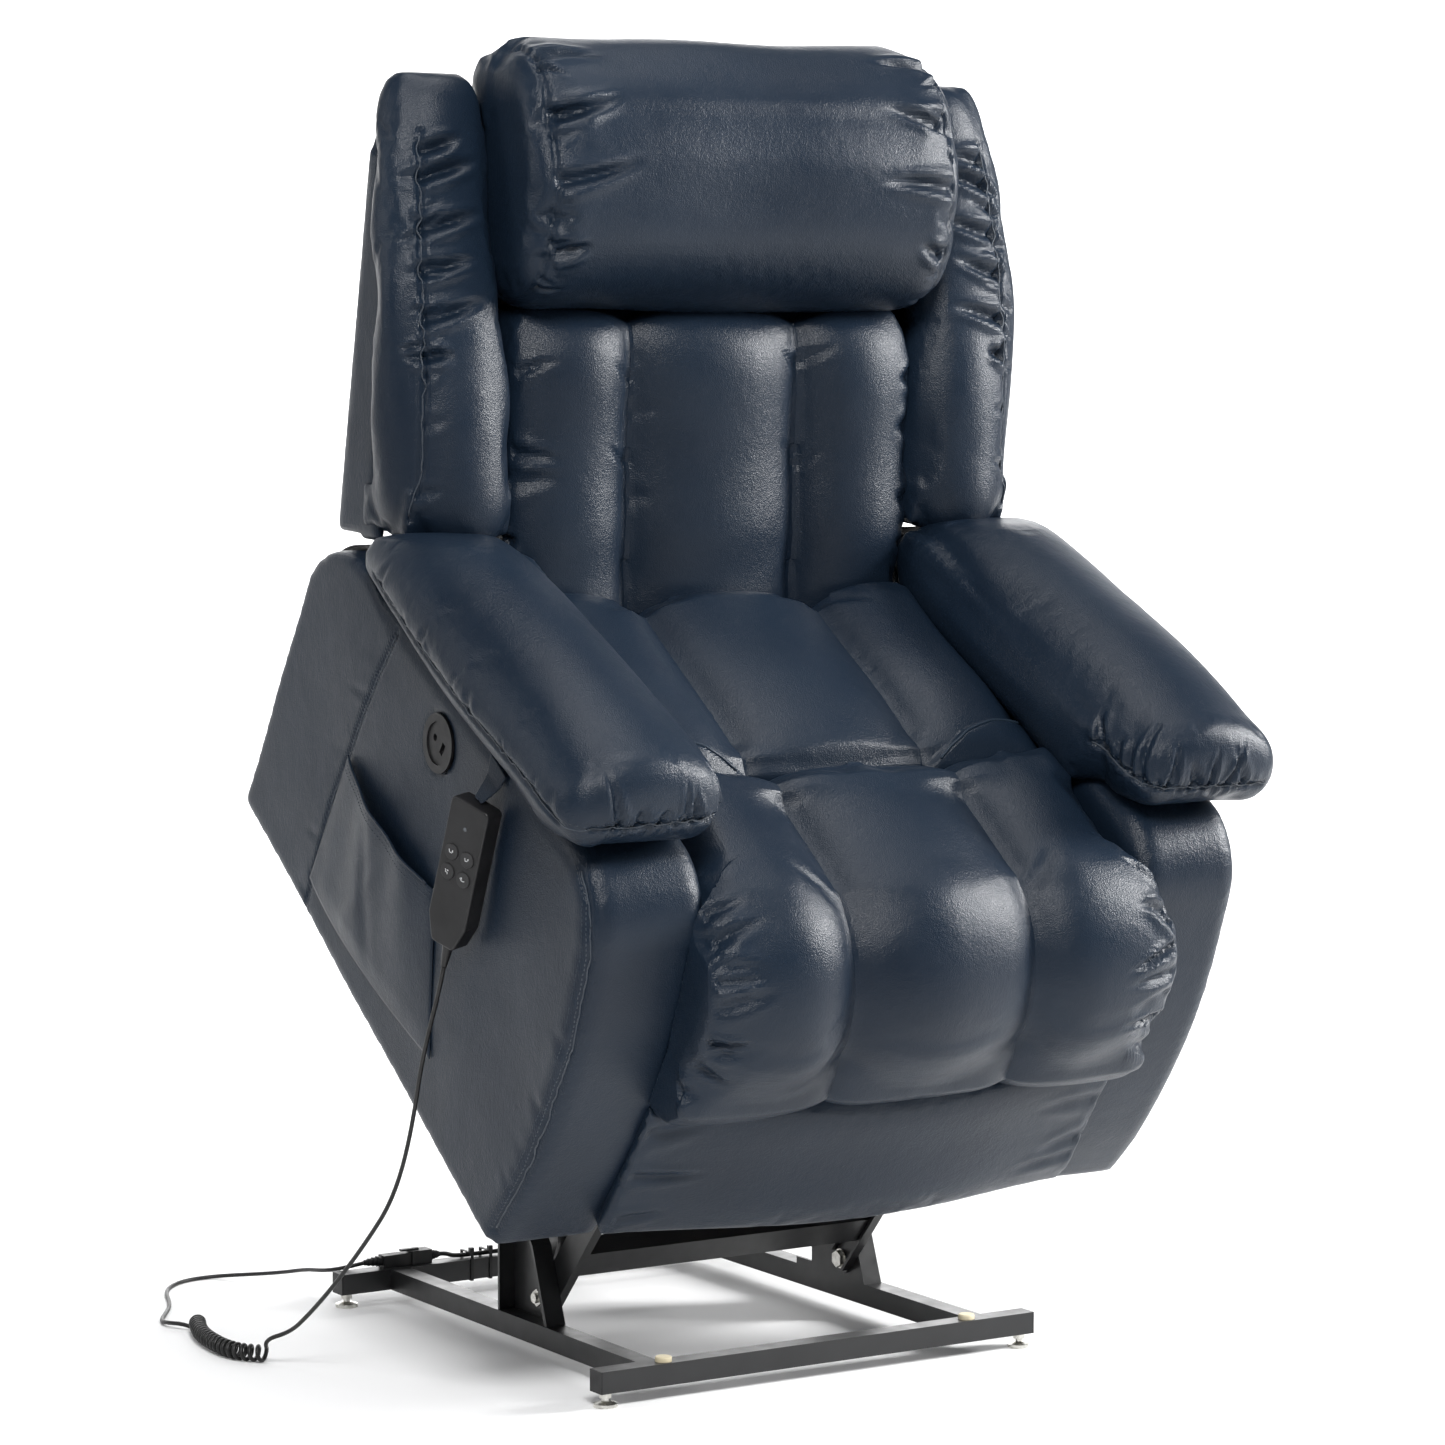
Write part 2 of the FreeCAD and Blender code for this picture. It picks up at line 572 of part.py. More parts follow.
def build_lift_arms():
    """Channel-section arms that swing on the lower bolts, joined by the cross beam."""
    inner = "(Worked.arm_out - Sizes.arm_plate)"
    web_span = (inner, "Worked.arm_out")
    web = box("arm_web", web_span, ("0", "Sizes.arm_length"), ("-Sizes.arm_half", "Sizes.arm_half"))
    ends = [
        cylinder(f"arm_end_{number}", "x", "Sizes.arm_half", (place, "0"), web_span)
        for number, place in enumerate(("0", "Sizes.arm_length"))
    ]
    flange_span = (f"{inner} - Sizes.arm_flange", inner)
    flange_run = ("0", "Sizes.arm_length - 32")
    flanges = [
        box(
            "arm_flange_front",
            flange_span,
            flange_run,
            ("Sizes.arm_half - Sizes.arm_plate", "Sizes.arm_half"),
        ),
        box(
            "arm_flange_rear",
            flange_span,
            flange_run,
            ("-Sizes.arm_half", "-Sizes.arm_half + Sizes.arm_plate"),
        ),
    ]
    drills = [
        cylinder(
            f"arm_drill_{number}",
            "x",
            "Sizes.bolt_radius + Sizes.running_gap",
            (place, "0"),
            (f"{inner} - 1", "Worked.arm_out + 1"),
        )
        for number, place in enumerate(("0", "Sizes.arm_length"))
    ]
    arm = cut("arm_plate_right", fuse("arm_blank", web, *ends, *flanges), *drills)
    node("lift_arms", arm, mirror(arm), place=ARM_PLACE)
    run = ("Sizes.beam_place - Sizes.beam_wide / 2", "Sizes.beam_place + Sizes.beam_wide / 2")
    wall = "Sizes.tube_wall"
    outer = box("beam_outer", (f"-{inner}", inner), run, ("-Sizes.beam_tall / 2", "Sizes.beam_tall / 2"))
    hollow = box(
        "beam_hollow",
        (f"-{inner} - 1", f"{inner} + 1"),
        (f"{run[0]} + {wall}", f"{run[1]} - {wall}"),
        (f"-Sizes.beam_tall / 2 + {wall}", f"Sizes.beam_tall / 2 - {wall}"),
    )
    node("lift_cross_beam", cut("beam_tube", outer, hollow), place=ARM_PLACE)


def build_upper_links():
    """Flat links above the arms that hold the seat's tilt; their upper eyes lie beside the mechanism."""
    span = ("Worked.arm_out - Sizes.link_plate", "Worked.arm_out")
    bar = box("link_bar", span, ("0", "Worked.link_length"), ("-Sizes.link_half", "Sizes.link_half"))
    ends = [
        cylinder(f"link_end_{number}", "x", "Sizes.link_half", (place, "0"), span)
        for number, place in enumerate(("0", "Worked.link_length"))
    ]
    drill = cylinder(
        "link_drill",
        "x",
        "Sizes.bolt_radius + Sizes.running_gap",
        ("0", "0"),
        ("Worked.arm_out - 9", "Worked.arm_out + 1"),
    )
    head = cylinder(
        "link_rivet",
        "x",
        "Sizes.bolt_radius * 1.5",
        ("Worked.link_length", "0"),
        ("Worked.arm_out", "Worked.arm_out + 3.5"),
    )
    boss = cylinder(
        "link_boss",
        "x",
        "Sizes.bolt_radius * 1.5",
        ("Worked.link_length", "0"),
        ("Worked.mech_out + Sizes.near_gap", "Worked.arm_out - Sizes.link_plate"),
    )
    link = cut("link_right", fuse("link_blank", bar, *ends, head, boss), drill)
    node("upper_links", link, mirror(link), place=LINK_PLACE)


# Actuators


def actuator(name, length, place, can_side):
    """Housing with its pin eye, gearbox, side motor and outer tube; the rod is a piece of its own."""
    reach = f"Worked.{length}"
    tube_end = f"({reach} - 114)"
    eye = cylinder(name + "_eye", "x", "10.5", ("0", "0"), ("-11", "11"))
    neck = box(name + "_neck", ("-11", "11"), ("0", "34"), ("-10.5", "10.5"))
    gearbox = box(name + "_gearbox", ("-26", "26"), ("30", "92"), ("-24", "24"))
    sleeve = cylinder(name + "_sleeve", "y", "Sizes.motor_tube_radius", ("0", "0"), ("90", tube_end))
    collar = cylinder(
        name + "_collar", "y", "Sizes.motor_tube_radius + 3", ("0", "0"), (f"{tube_end} - 16", tube_end)
    )
    pin_hole = cylinder(
        name + "_pin_hole", "x", "Sizes.motor_pin_radius + Sizes.running_gap", ("0", "0"), ("-12", "12")
    )
    bore = cylinder(
        name + "_bore",
        "y",
        "Sizes.motor_rod_radius + Sizes.near_gap",
        ("0", "0"),
        ("110", f"{tube_end} + 1"),
    )
    rounded = DOCUMENT.addObject("Part::Fillet", name + "_gearbox_rounded")
    rounded.Base = gearbox
    rounded.Edges = [(number, 4.0, 4.0) for number in range(1, 13)]
    housing = cut(
        name + "_housing_body", fuse(name + "_blank", eye, neck, rounded, sleeve, collar), pin_hole, bore
    )
    can_span = ("26", "118") if can_side > 0 else ("-118", "-26")
    can = cylinder(name + "_can_body", "x", "Sizes.motor_can_radius", ("61", "0"), can_span)
    node(name, housing, can, place=place)
    cheek_in = "Sizes.tongue_half + Sizes.fork_gap"
    cheek_out = "Sizes.tongue_half + Sizes.fork_gap + 6"
    rod = cylinder(
        name + "_rod_bar",
        "y",
        "Sizes.motor_rod_radius",
        ("0", "0"),
        (f"{reach} - 190", f"{reach} - Sizes.fork_depth"),
    )
    root = box(
        name + "_fork_root",
        (f"-({cheek_out})", cheek_out),
        (f"{reach} - Sizes.fork_depth - 14", f"{reach} - Sizes.fork_depth"),
        ("-11", "11"),
    )
    cheeks = []
    for side, (low, high) in (
        ("left", (f"-({cheek_out})", f"-({cheek_in})")), ("right", (cheek_in, cheek_out))
    ):
        cheeks.append(
            box(f"{name}_cheek_{side}", (low, high), (f"{reach} - Sizes.fork_depth", reach), ("-11", "11"))
        )
        cheeks.append(cylinder(f"{name}_cheek_end_{side}", "x", "11", (reach, "0"), (low, high)))
    stub_out = f"({cheek_out} + 4)"
    stubs = [
        cylinder(
            f"{name}_stub_left",
            "x",
            "Sizes.motor_pin_radius + 1",
            (reach, "0"),
            (f"-{stub_out}", f"-({cheek_in})"),
        ),
        cylinder(
            f"{name}_stub_right", "x", "Sizes.motor_pin_radius + 1", (reach, "0"), (cheek_in, stub_out)
        ),
    ]
    node(name + "_rod", fuse(name + "_rod_body", rod, root, *cheeks, *stubs), place=place)


def build_motor_bracket():
    """Two ears on the rear tube that carry the lift motor's pin."""
    ear_in = "11 + Sizes.near_gap"
    ear_out = "11 + Sizes.near_gap + Sizes.bracket_web"
    rear = REAR_NEAR
    corners = (
        (rear, "Sizes.foot_height + 4"),
        (rear, "Sizes.motor_pin_height + 14"),
        ("Worked.motor_y - 12", "Sizes.motor_pin_height + 14"),
        ("Worked.motor_y - 14", "Sizes.motor_pin_height - 14"),
        (f"{rear} - 10", "Sizes.foot_height + 4"),
    )
    hole = (("Worked.motor_y", "Sizes.motor_pin_height", "Sizes.motor_pin_radius + Sizes.running_gap"),)
    ear = plate("motor_ear", corners, (ear_in, ear_out), hole)
    bridge = box(
        "motor_bridge",
        (f"-({ear_out})", ear_out),
        (f"{rear} - Sizes.bracket_web", rear),
        ("Worked.rail_top - 12", "Sizes.motor_pin_height + 14"),
    )
    bridged = fuse("motor_bracket_body", ear, mirror(ear), bridge)
    pin = cylinder(
        "motor_pin_bar",
        "x",
        "Sizes.motor_pin_radius",
        ("Worked.motor_y", "Sizes.motor_pin_height"),
        (f"-({ear_out}) - 4", f"{ear_out} + 1"),
    )
    head = cylinder(
        "motor_pin_head",
        "x",
        "Sizes.motor_pin_radius * 1.7",
        ("Worked.motor_y", "Sizes.motor_pin_height"),
        (f"{ear_out}", f"{ear_out} + 4"),
    )
    node("motor_bracket", bridged, fuse("motor_pin", pin, head))


# Seat mechanism


def build_mechanism():
    """Long side plates that carry every pivot of the seat group, with their cross tubes and pins."""
    rise = "Sizes.knee_pin_n + 9.5"
    band_low = "60"
    band_high = "100"
    front_out = "Sizes.knee_pin_s - 19"
    front_in = "Sizes.knee_pin_s + 19"
    back_out = "Sizes.back_pin_s + 22"
    back_in = "Sizes.back_pin_s - 22"
    span = ("Worked.mech_in", "Worked.mech_out")
    snug = "Sizes.bolt_radius + Sizes.running_gap"
    band = (
        (front_out, band_low),
        ("Sizes.arm_pin_s - 20", band_low),
        ("Sizes.arm_pin_s - 18", "Sizes.arm_pin_n - 8"),
        ("Sizes.arm_pin_s - 8", "Sizes.arm_pin_n - 18"),
        ("Sizes.arm_pin_s + 8", "Sizes.arm_pin_n - 18"),
        ("Sizes.arm_pin_s + 18", "Sizes.arm_pin_n - 8"),
        ("Sizes.link_pin_s + 18", "Sizes.link_pin_n - 16"),
        ("Sizes.link_pin_s + 40", band_low),
        (back_out, band_low),
        (back_out, band_high),
        (front_out, band_high),
    )
    long_plate = plate("mech_band", band, span, (("Sizes.arm_pin_s", "Sizes.arm_pin_n", snug),))
    node("mechanism_plates", long_plate, mirror(long_plate), place=SEAT_PLACE)
    knee = (
        (front_out, band_high),
        (front_in, band_high),
        (front_in, f"{rise} - 8"),
        (f"{front_in} - 8", rise),
        (f"{front_out} + 8", rise),
        (front_out, f"{rise} - 8"),
    )
    knee_hole = (("Sizes.knee_pin_s", "Sizes.knee_pin_n", "Sizes.motor_pin_radius + Sizes.running_gap"),)
    knee_post = plate("knee_post", knee, span, knee_hole)
    back = (
        (back_in, band_high),
        (back_out, band_high),
        (back_out, "Sizes.back_pin_n + 10"),
        ("Sizes.back_pin_s + 10", "Sizes.back_pin_n + 18"),
        ("Sizes.back_pin_s - 10", "Sizes.back_pin_n + 18"),
        (back_in, "Sizes.back_pin_n + 10"),
    )
    back_post = plate("hinge_post", back, span, (("Sizes.back_pin_s", "Sizes.back_pin_n", snug),))
    posts = [knee_post, mirror(knee_post), back_post, mirror(back_post)]
    node("mechanism_posts", *posts, place=SEAT_PLACE)
    build_cross_tubes()
    build_frame_pins()


def square_tube(name, along, up):
    """A square cross tube between the mechanism plates, centred on a point of the seat frame."""
    half = "Sizes.tube_size / 2"
    bore = "(Sizes.tube_size / 2 - Sizes.tube_wall)"
    outer = box(
        name + "_outer",
        ("-Worked.mech_in", "Worked.mech_in"),
        (f"{along} - {half}", f"{along} + {half}"),
        (f"{up} - {half}", f"{up} + {half}"),
    )
    inner = box(
        name + "_inner",
        ("-Worked.mech_in - 1", "Worked.mech_in + 1"),
        (f"{along} - {bore}", f"{along} + {bore}"),
        (f"{up} - {bore}", f"{up} + {bore}"),
    )
    return cut(name, outer, inner)


def build_cross_tubes():
    mid_s = "(Sizes.rod_pin_s - 14)"
    mid_n = "(Sizes.rod_pin_n + 46)"
    front = square_tube("cross_front", "112", "80")
    middle = square_tube("cross_middle", mid_s, mid_n)
    rear = square_tube("cross_rear", "Sizes.back_pin_s", "118")
    tongue_corners = (
        (f"{mid_s} - 9", f"{mid_n} - Sizes.tube_size / 2"),
        ("Sizes.rod_pin_s - 12", "Sizes.rod_pin_n - 5"),
        ("Sizes.rod_pin_s - 5", "Sizes.rod_pin_n - 12"),
        ("Sizes.rod_pin_s + 5", "Sizes.rod_pin_n - 12"),
        ("Sizes.rod_pin_s + 12", "Sizes.rod_pin_n - 5"),
        (f"{mid_s} + 12", f"{mid_n} - Sizes.tube_size / 2"),
    )
    tongue = plate("rod_tongue", tongue_corners, ("-Sizes.tongue_half", "Sizes.tongue_half"))
    ear_low = f"({mid_n} + Sizes.tube_size / 2)"
    ear_corners = (
        (f"{mid_s} - 12", ear_low),
        (f"{mid_s} + 12", ear_low),
        ("Sizes.recline_motor_s + 12", "Sizes.recline_motor_n - 9"),
        ("Sizes.recline_motor_s + 12", "Sizes.recline_motor_n + 7"),
        ("Sizes.recline_motor_s + 6", "Sizes.recline_motor_n + 13"),
        ("Sizes.recline_motor_s - 8", "Sizes.recline_motor_n + 13"),
        (f"{mid_s} - 12", f"{ear_low} + 8"),
    )
    hole = (
        ("Sizes.recline_motor_s", "Sizes.recline_motor_n", "Sizes.motor_pin_radius + Sizes.running_gap"),
    )
    ear_span = ("11 + Sizes.near_gap", "11 + Sizes.near_gap + Sizes.bracket_web")
    ear = plate("recline_ear", ear_corners, ear_span, hole)
    node(
        "mechanism_cross_tubes",
        front,
        fuse("cross_middle_body", middle, tongue, ear, mirror(ear)),
        rear,
        place=SEAT_PLACE,
    )


def shouldered_pin(name, along, up, radius, head_span, shank_end, shoulder=None):
    """A pin with its head inside the chair and, where pieces stand apart, a shoulder between them."""
    pieces = [
        cylinder(name + "_head", "x", f"{radius} * 1.7", (along, up), head_span),
        cylinder(name + "_shank", "x", radius, (along, up), (head_span[1], shank_end)),
    ]
    if shoulder:
        pieces.append(cylinder(name + "_shoulder", "x", f"{radius} * 1.5", (along, up), shoulder))
    return fuse(name, *pieces)


def build_frame_pins():
    inner_arm = "(Worked.arm_out - Sizes.arm_plate)"
    lower = shouldered_pin(
        "arm_pin",
        "Sizes.arm_pin_s",
        "Sizes.arm_pin_n",
        "Sizes.bolt_radius",
        ("Worked.mech_in - 5", "Worked.mech_in"),
        "Worked.arm_out + 0.5",
        ("Worked.mech_out", f"{inner_arm} - Sizes.near_gap"),
    )
    cap = cylinder(
        "arm_pin_cap",
        "x",
        "Sizes.bolt_radius * 1.6",
        ("Sizes.arm_pin_s", "Sizes.arm_pin_n"),
        ("Worked.arm_out + 0.5", "Worked.arm_out + 4.5"),
    )
    knee = shouldered_pin(
        "knee_pin",
        "Sizes.knee_pin_s",
        "Sizes.knee_pin_n",
        "Sizes.motor_pin_radius",
        ("Worked.mech_in - 10", "Worked.mech_in - 6"),
        "Worked.mech_out + 3",
    )
    back = shouldered_pin(
        "back_pin",
        "Sizes.back_pin_s",
        "Sizes.back_pin_n",
        "Sizes.bolt_radius",
        ("Worked.mech_in - 5", "Worked.mech_in"),
        "Worked.mech_out + 11",
    )
    motor = cylinder(
        "recline_pin",
        "x",
        "Sizes.motor_pin_radius",
        ("Sizes.recline_motor_s", "Sizes.recline_motor_n"),
        ("-18", "18"),
    )
    right = [fuse("arm_pin_whole", lower, cap), knee, back]
    node("frame_pivot_pins", *right, *[mirror(pin) for pin in right], motor, place=SEAT_PLACE)


def build_seat_rails():
    """Wooden rails that frame the spring deck; the front rail stands higher, behind the knee."""
    front = box(
        "rail_front",
        ("-(Sizes.panel_in - 0.3)", "Sizes.panel_in - 0.3"),
        ("80", "80 + Sizes.rail_wood"),
        ("240", "Sizes.knee_pin_n + 9.5"),
    )
    rear = box(
        "rail_rear",
        ("-(Sizes.panel_in - 0.3)", "Sizes.panel_in - 0.3"),
        ("530", "530 + Sizes.rail_wood"),
        ("255", "287"),
    )
    side = box(
        "rail_side",
        ("Sizes.panel_in - 22", "Sizes.panel_in - 0.3"),
        ("80 + Sizes.rail_wood", "530"),
        ("255", "287"),
    )
    node("seat_rails", front, rear, side, mirror(side), place=SEAT_PLACE)


def spring_path(middle):
    """A flat zigzag of half circles joined by straight runs, from the front rail to the rear rail."""
    front = 80 + size("rail_wood") + size("spring_wire") / 2
    rear = 530 - size("spring_wire") / 2
    waves = int(size("spring_waves"))
    bend = (rear - front) / (2 * waves)
    reach = size("spring_swing") - bend
    height = 287 - size("spring_wire")
    edges = []
    here = Vector(middle, front, height)
    for wave in range(waves):
        sign = 1 if wave % 2 == 0 else -1
        out = Vector(middle + sign * reach, here.y, height)
        back = Vector(out.x, out.y + 2 * bend, height)
        tip = Vector(out.x + sign * bend, out.y + bend, height)
        edges.append(Part.LineSegment(here, out).toShape())
        edges.append(Part.Arc(out, tip, back).toShape())
        here = back
    edges.append(Part.LineSegment(here, Vector(middle, here.y, height)).toShape())
    return Part.Wire(edges)


def build_springs():
    count = int(size("spring_count"))
    pitch = 2 * (size("panel_in") - 40) / count
    springs = []
    for number in range(count):
        path = spring_path((number - (count - 1) / 2) * pitch)
        start = path.Edges[0].valueAt(path.Edges[0].FirstParameter)
        ring = Part.Wire([Part.Circle(start, Vector(1, 0, 0), size("spring_wire") / 2).toShape()])
        springs.append(feature(f"spring_{number}", path.makePipeShell([ring], True, False)))
    node("seat_springs", *springs, place=SEAT_PLACE)


# Outlines and soft forms


def outline(start, *steps):
    """A closed wire from start; each step is the next corner, or a pair (way point, end) of an arc."""
    edges = []
    here = start
    for step in steps:
        if isinstance(step, tuple):
            edges.append(Part.Arc(here, step[0], step[1]).toShape())
            here = step[1]
        else:
            edges.append(Part.LineSegment(here, step).toShape())
            here = step
    if (here - start).Length > 1e-6:
        edges.append(Part.LineSegment(here, start).toShape())
    return Part.Wire(edges)


def side_point(along, up):
    return Vector(0, along, up)


def about(centre, radius, degrees):
    """The point of a circle in the YZ plane, its angle measured from +Y towards +Z."""
    angle = math.radians(degrees)
    return centre + Vector(0, radius * math.cos(angle), radius * math.sin(angle))


def arm_box_outline():
    """Side view of an arm box: bowed front, sloping top, and an upper rear corner round the back hinge."""
    depth = size("panel_depth")
    heel = size("heel_round")
    return outline(
        side_point(0, 0),
        (side_point(-16, 150), side_point(24, 404)),
        (side_point(58, 456), side_point(125, 477)),
        about(BACK_PIN, heel, 95),
        (about(BACK_PIN, heel, 52), about(BACK_PIN, heel, 11)),
        side_point(depth, 0),
        side_point(0, 0),
    )


def arm_box():
    """The right arm box, hollow inside, its front edges rounded."""
    low = size("panel_in")
    high = size("panel_out")
    wall = size("panel_wall")
    wire = arm_box_outline()
    block = Part.Face(wire).extrude(Vector(high - low, 0, 0))
    block.translate(Vector(low, 0, 0))
    front_edges = [
        edge
        for edge in block.Edges
        if edge.BoundBox.XLength < 0.01 and edge.BoundBox.YMax < 126 and edge.BoundBox.ZLength > 40
    ]
    block = block.makeFillet(size("panel_round"), front_edges)
    hollow_wire = Part.Face(wire).makeOffset2D(-wall)
    hollow = hollow_wire.extrude(Vector(high - low - 2 * wall, 0, 0))
    hollow.translate(Vector(low + wall, 0, 0))
    return block.cut(hollow)


def loft(wires):
    return Part.makeLoft(wires, True, False)


def smooth_rows(rows, count):
    """More stations between hand-chosen rows, by cubics whose slopes never overshoot a row."""
    places = [row[0] for row in rows]
    columns = list(zip(*rows))
    slopes = []
    for column in columns:
        steps = [
            (after - before) / (right - left)
            for before, after, left, right in zip(column, column[1:], places, places[1:])
        ]
        inner = [2 * a * b / (a + b) if a * b > 0 else 0.0 for a, b in zip(steps, steps[1:])]
        slopes.append([steps[0], *inner, steps[-1]])
    result = []
    for step in range(count):
        place = places[0] + (places[-1] - places[0]) * step / (count - 1)
        span = max(index for index in range(len(places) - 1) if places[index] <= place + 1e-9)
        width = places[span + 1] - places[span]
        t = (place - places[span]) / width
        row = []
        for column, slope in zip(columns, slopes):
            start, end = column[span], column[span + 1]
            rise = (2 * t**3 - 3 * t**2 + 1) * start + (3 * t**2 - 2 * t**3) * end
            lean = (t**3 - 2 * t**2 + t) * slope[span] + (t**3 - t**2) * slope[span + 1]
            row.append(rise + width * lean)
        result.append(row)
    return result


def pad_section(along, low, inner, outer, height):
    """Cross-section of an arm pad: flat below, swelling outwards and up."""
    middle = (inner + outer) / 2
    return outline(
        Vector(inner + 16, along, low),
        Vector(outer - 34, along, low),
        (Vector(outer, along, low + 0.42 * height), Vector(outer - 26, along, low + 0.84 * height)),
        (Vector(middle, along, low + height), Vector(inner + 26, along, low + 0.84 * height)),
        (Vector(inner, along, low + 0.42 * height), Vector(inner + 16, along, low)),
    )


def arm_top(along):
    """Height just above the sloping top of an arm box, between its two rounded corners."""
    rear = about(BACK_PIN, size("heel_round"), 95)
    slope = (rear.z - 477) / (rear.y - 125)
    return 477 + slope * (along - 125) + size("near_gap")


def arm_pad():
    """The right arm pad: a stuffed roll on top of the arm box, overhanging its front and outer face."""
    inner = 268.0
    outer = size("panel_out") + 41
    rows = (
        (92, 508, 30, 40),
        (100, 496, 14, 70),
        (114, 490, 6, 92),
        (150, arm_top(150), 0, 112),
        (260, arm_top(260), 0, 116),
        (430, arm_top(430), 4, 110),
        (560, arm_top(560), 14, 101),
        (628, arm_top(628), 24, 88),
    )
    stations = [*rows[:3], *smooth_rows(rows[3:], 12)]
    wires = [
        pad_section(along, low, inner + draw, outer - draw, height) for along, low, draw, height in stations
    ]
    under = Part.Face(
        outline(
            side_point(60, arm_top(60)),
            side_point(700, arm_top(700)),
            side_point(700, 200),
            side_point(60, 200),
        )
    )
    pad = loft(wires).cut(under.extrude(Vector(600, 0, 0)))
    above_wing = Part.makeBox(900, 900, 400, Vector(-450, -600, 147))
    above_wing.Placement = BACK_LOCAL
    return pad.cut(above_wing)


def quilt(place, half, back, edge, crown, seams):
    """Cross-section of a quilted pad: flat back, straight sides, one arc for each channel between seams."""
    limits = [half, *sorted(seams, reverse=True), -half]
    steps = [place(half, back), place(half, edge)]
    for right, left in zip(limits, limits[1:]):
        steps.append((place((right + left) / 2, edge + crown), place(left, edge)))
    return outline(place(-half, back), *steps, place(-half, back))


def back_cushion():
    seam = 112.0
    stations = (
        (-2, 16, -36, -80, 6),
        (18, 2, -34, -96, 16),
        (60, 0, -14.4, -97, 21),
        (140, 0, -14.4, -95, 22),
        (260, 0, -14.4, -87, 22),
        (370, 4, -14.4, -78, 18),
        (399, 16, -14.4, -66, 6),
    )
    wires = []
    for up, draw, back, edge, crown in stations:
        half = size("back_half") - draw
        wires.append(
            quilt(
                lambda across, depth, up=up: Vector(across, depth, up),
                half,
                back,
                edge,
                -crown,
                (seam, -seam),
            )
        )
    return loft(wires).cut(behind_posts())


def behind_posts():
    """Everything from just before the back's wooden posts rearward, to cut the cushions' backs flat."""
    return Part.makeBox(1200, 300, 1200, Vector(-600, -14 - size("near_gap"), -300))


def seat_cushion():
    """Three channels, cut away at the rear along the front of the back cushion."""
    base = size("cushion_base")
    top = size("cushion_top")
    crown = size("cushion_crown")
    seam = size("seam_place")
    stations = ((size("pad_rear") + 0.5, -6, 0.6), (290, 0, 1), (450, 0, 1), (600, 0, 1))
    wires = []
    for along, drop, share in stations:
        wires.append(
            quilt(
                lambda across, up, along=along: Vector(across, along, up),
                size("cushion_half"),
                base,
                top + drop,
                crown * share,
                (seam, -seam),
            )
        )
    behind = Part.makeBox(700, 600, 900, Vector(-350, -124, -500))
    behind.Placement = BACK_LOCAL
    return loft(wires).cut(behind)


def knee_profile(inner, outer_seam, outer_crown, half):
    """Section of the leg pad over its width: three lobes on a flat base, standing above the knee hinge."""
    seam = size("seam_place")

    def place(across, radius):
        return Vector(across, KNEE_PIN.y, KNEE_PIN.z + radius)

    return Part.Face(quilt(place, half, inner, outer_seam, outer_crown - outer_seam, (seam, -seam)))


def knee_sweep(face, start, end):
    """The section turned about the knee hinge; angles from +Y towards +Z, the section standing at 90."""
    turned = face.copy()
    turned.rotate(KNEE_PIN, Vector(1, 0, 0), start - 90)
    return turned.revolve(KNEE_PIN, Vector(1, 0, 0), end - start)


def seat_front_pad():
    """The front of the seat: a lobed top over a rounded core that the leg pad turns round."""
    inner = size("knee_inner") - 1
    half = size("pad_half") - 4
    top = knee_profile(11.5, size("knee_seam"), size("knee_round") - 6, half)
    flat = top.extrude(Vector(0, size("pad_rear") - KNEE_PIN.y - 0.3, 0))
    core_face = Part.Face(
        outline(
            about(KNEE_PIN, 11.5, 90),
            about(KNEE_PIN, inner, 90),
            (about(KNEE_PIN, inner, 135), about(KNEE_PIN, inner, 173.4)),
        )
    )
    core_face.translate(Vector(-half, 0, 0))
    core = core_face.extrude(Vector(2 * half, 0, 0))
    deck = size("cushion_base")
    step = Part.makeBox(
        2 * half, size("pad_rear") - 100.8, KNEE_PIN.z + 12 - deck, Vector(-half, 100.5, deck)
    )
    return flat.fuse([core, step]).removeSplitter()


def knee_roll():
    profile = knee_profile(
        size("knee_inner"), size("knee_seam"), size("knee_round") - 6, size("pad_half") - 4
    )
    return knee_sweep(profile, 90.4, 179.6)


def leg_pad():
    profile = knee_profile(size("knee_inner"), size("knee_seam"), size("knee_round"), size("pad_half"))
    return knee_sweep(profile, 180, 226)


def footrest_board():
    """The padded board that becomes the leg rest: crowned face and a narrower back between the arm boxes."""
    low = size("board_low")
    high = size("board_high")
    half = size("board_half")
    stations = (
        (low, 6, 20, 14),
        (low + 14, 0, 22, 30),
        (low + 110, 0, 22, 30),
        (high - 14, 2, 20, 22),
        (high, 8, 19.5, 12),
    )
    wires = []
    for up, draw, edge, crown in stations:
        wires.append(
            outline(
                Vector(-half + draw, -18, up),
                Vector(half - draw, -18, up),
                Vector(half - draw, -edge, up),
                (Vector(0, -edge - crown, up), Vector(-half + draw, -edge, up)),
                Vector(-half + draw, -18, up),
            )
        )
    face = loft(wires)
    back = Part.makeBox(
        2 * (size("panel_in") - 5), 18, high - low - 12, Vector(5 - size("panel_in"), -18, low + 6)
    )
    return face.fuse(back).removeSplitter()


def wing_section(up, front, back, inner, outer):
    return outline(
        Vector(inner, back, up),
        Vector(outer - 6, back, up),
        (Vector(outer, (front + 2 * back) / 3, up), Vector(outer - 22, front + 0.25 * (back - front), up)),
        (Vector((inner + outer) / 2, front, up), Vector(inner + 4, front + 0.3 * (back - front), up)),
        Vector(inner, back, up),
    )


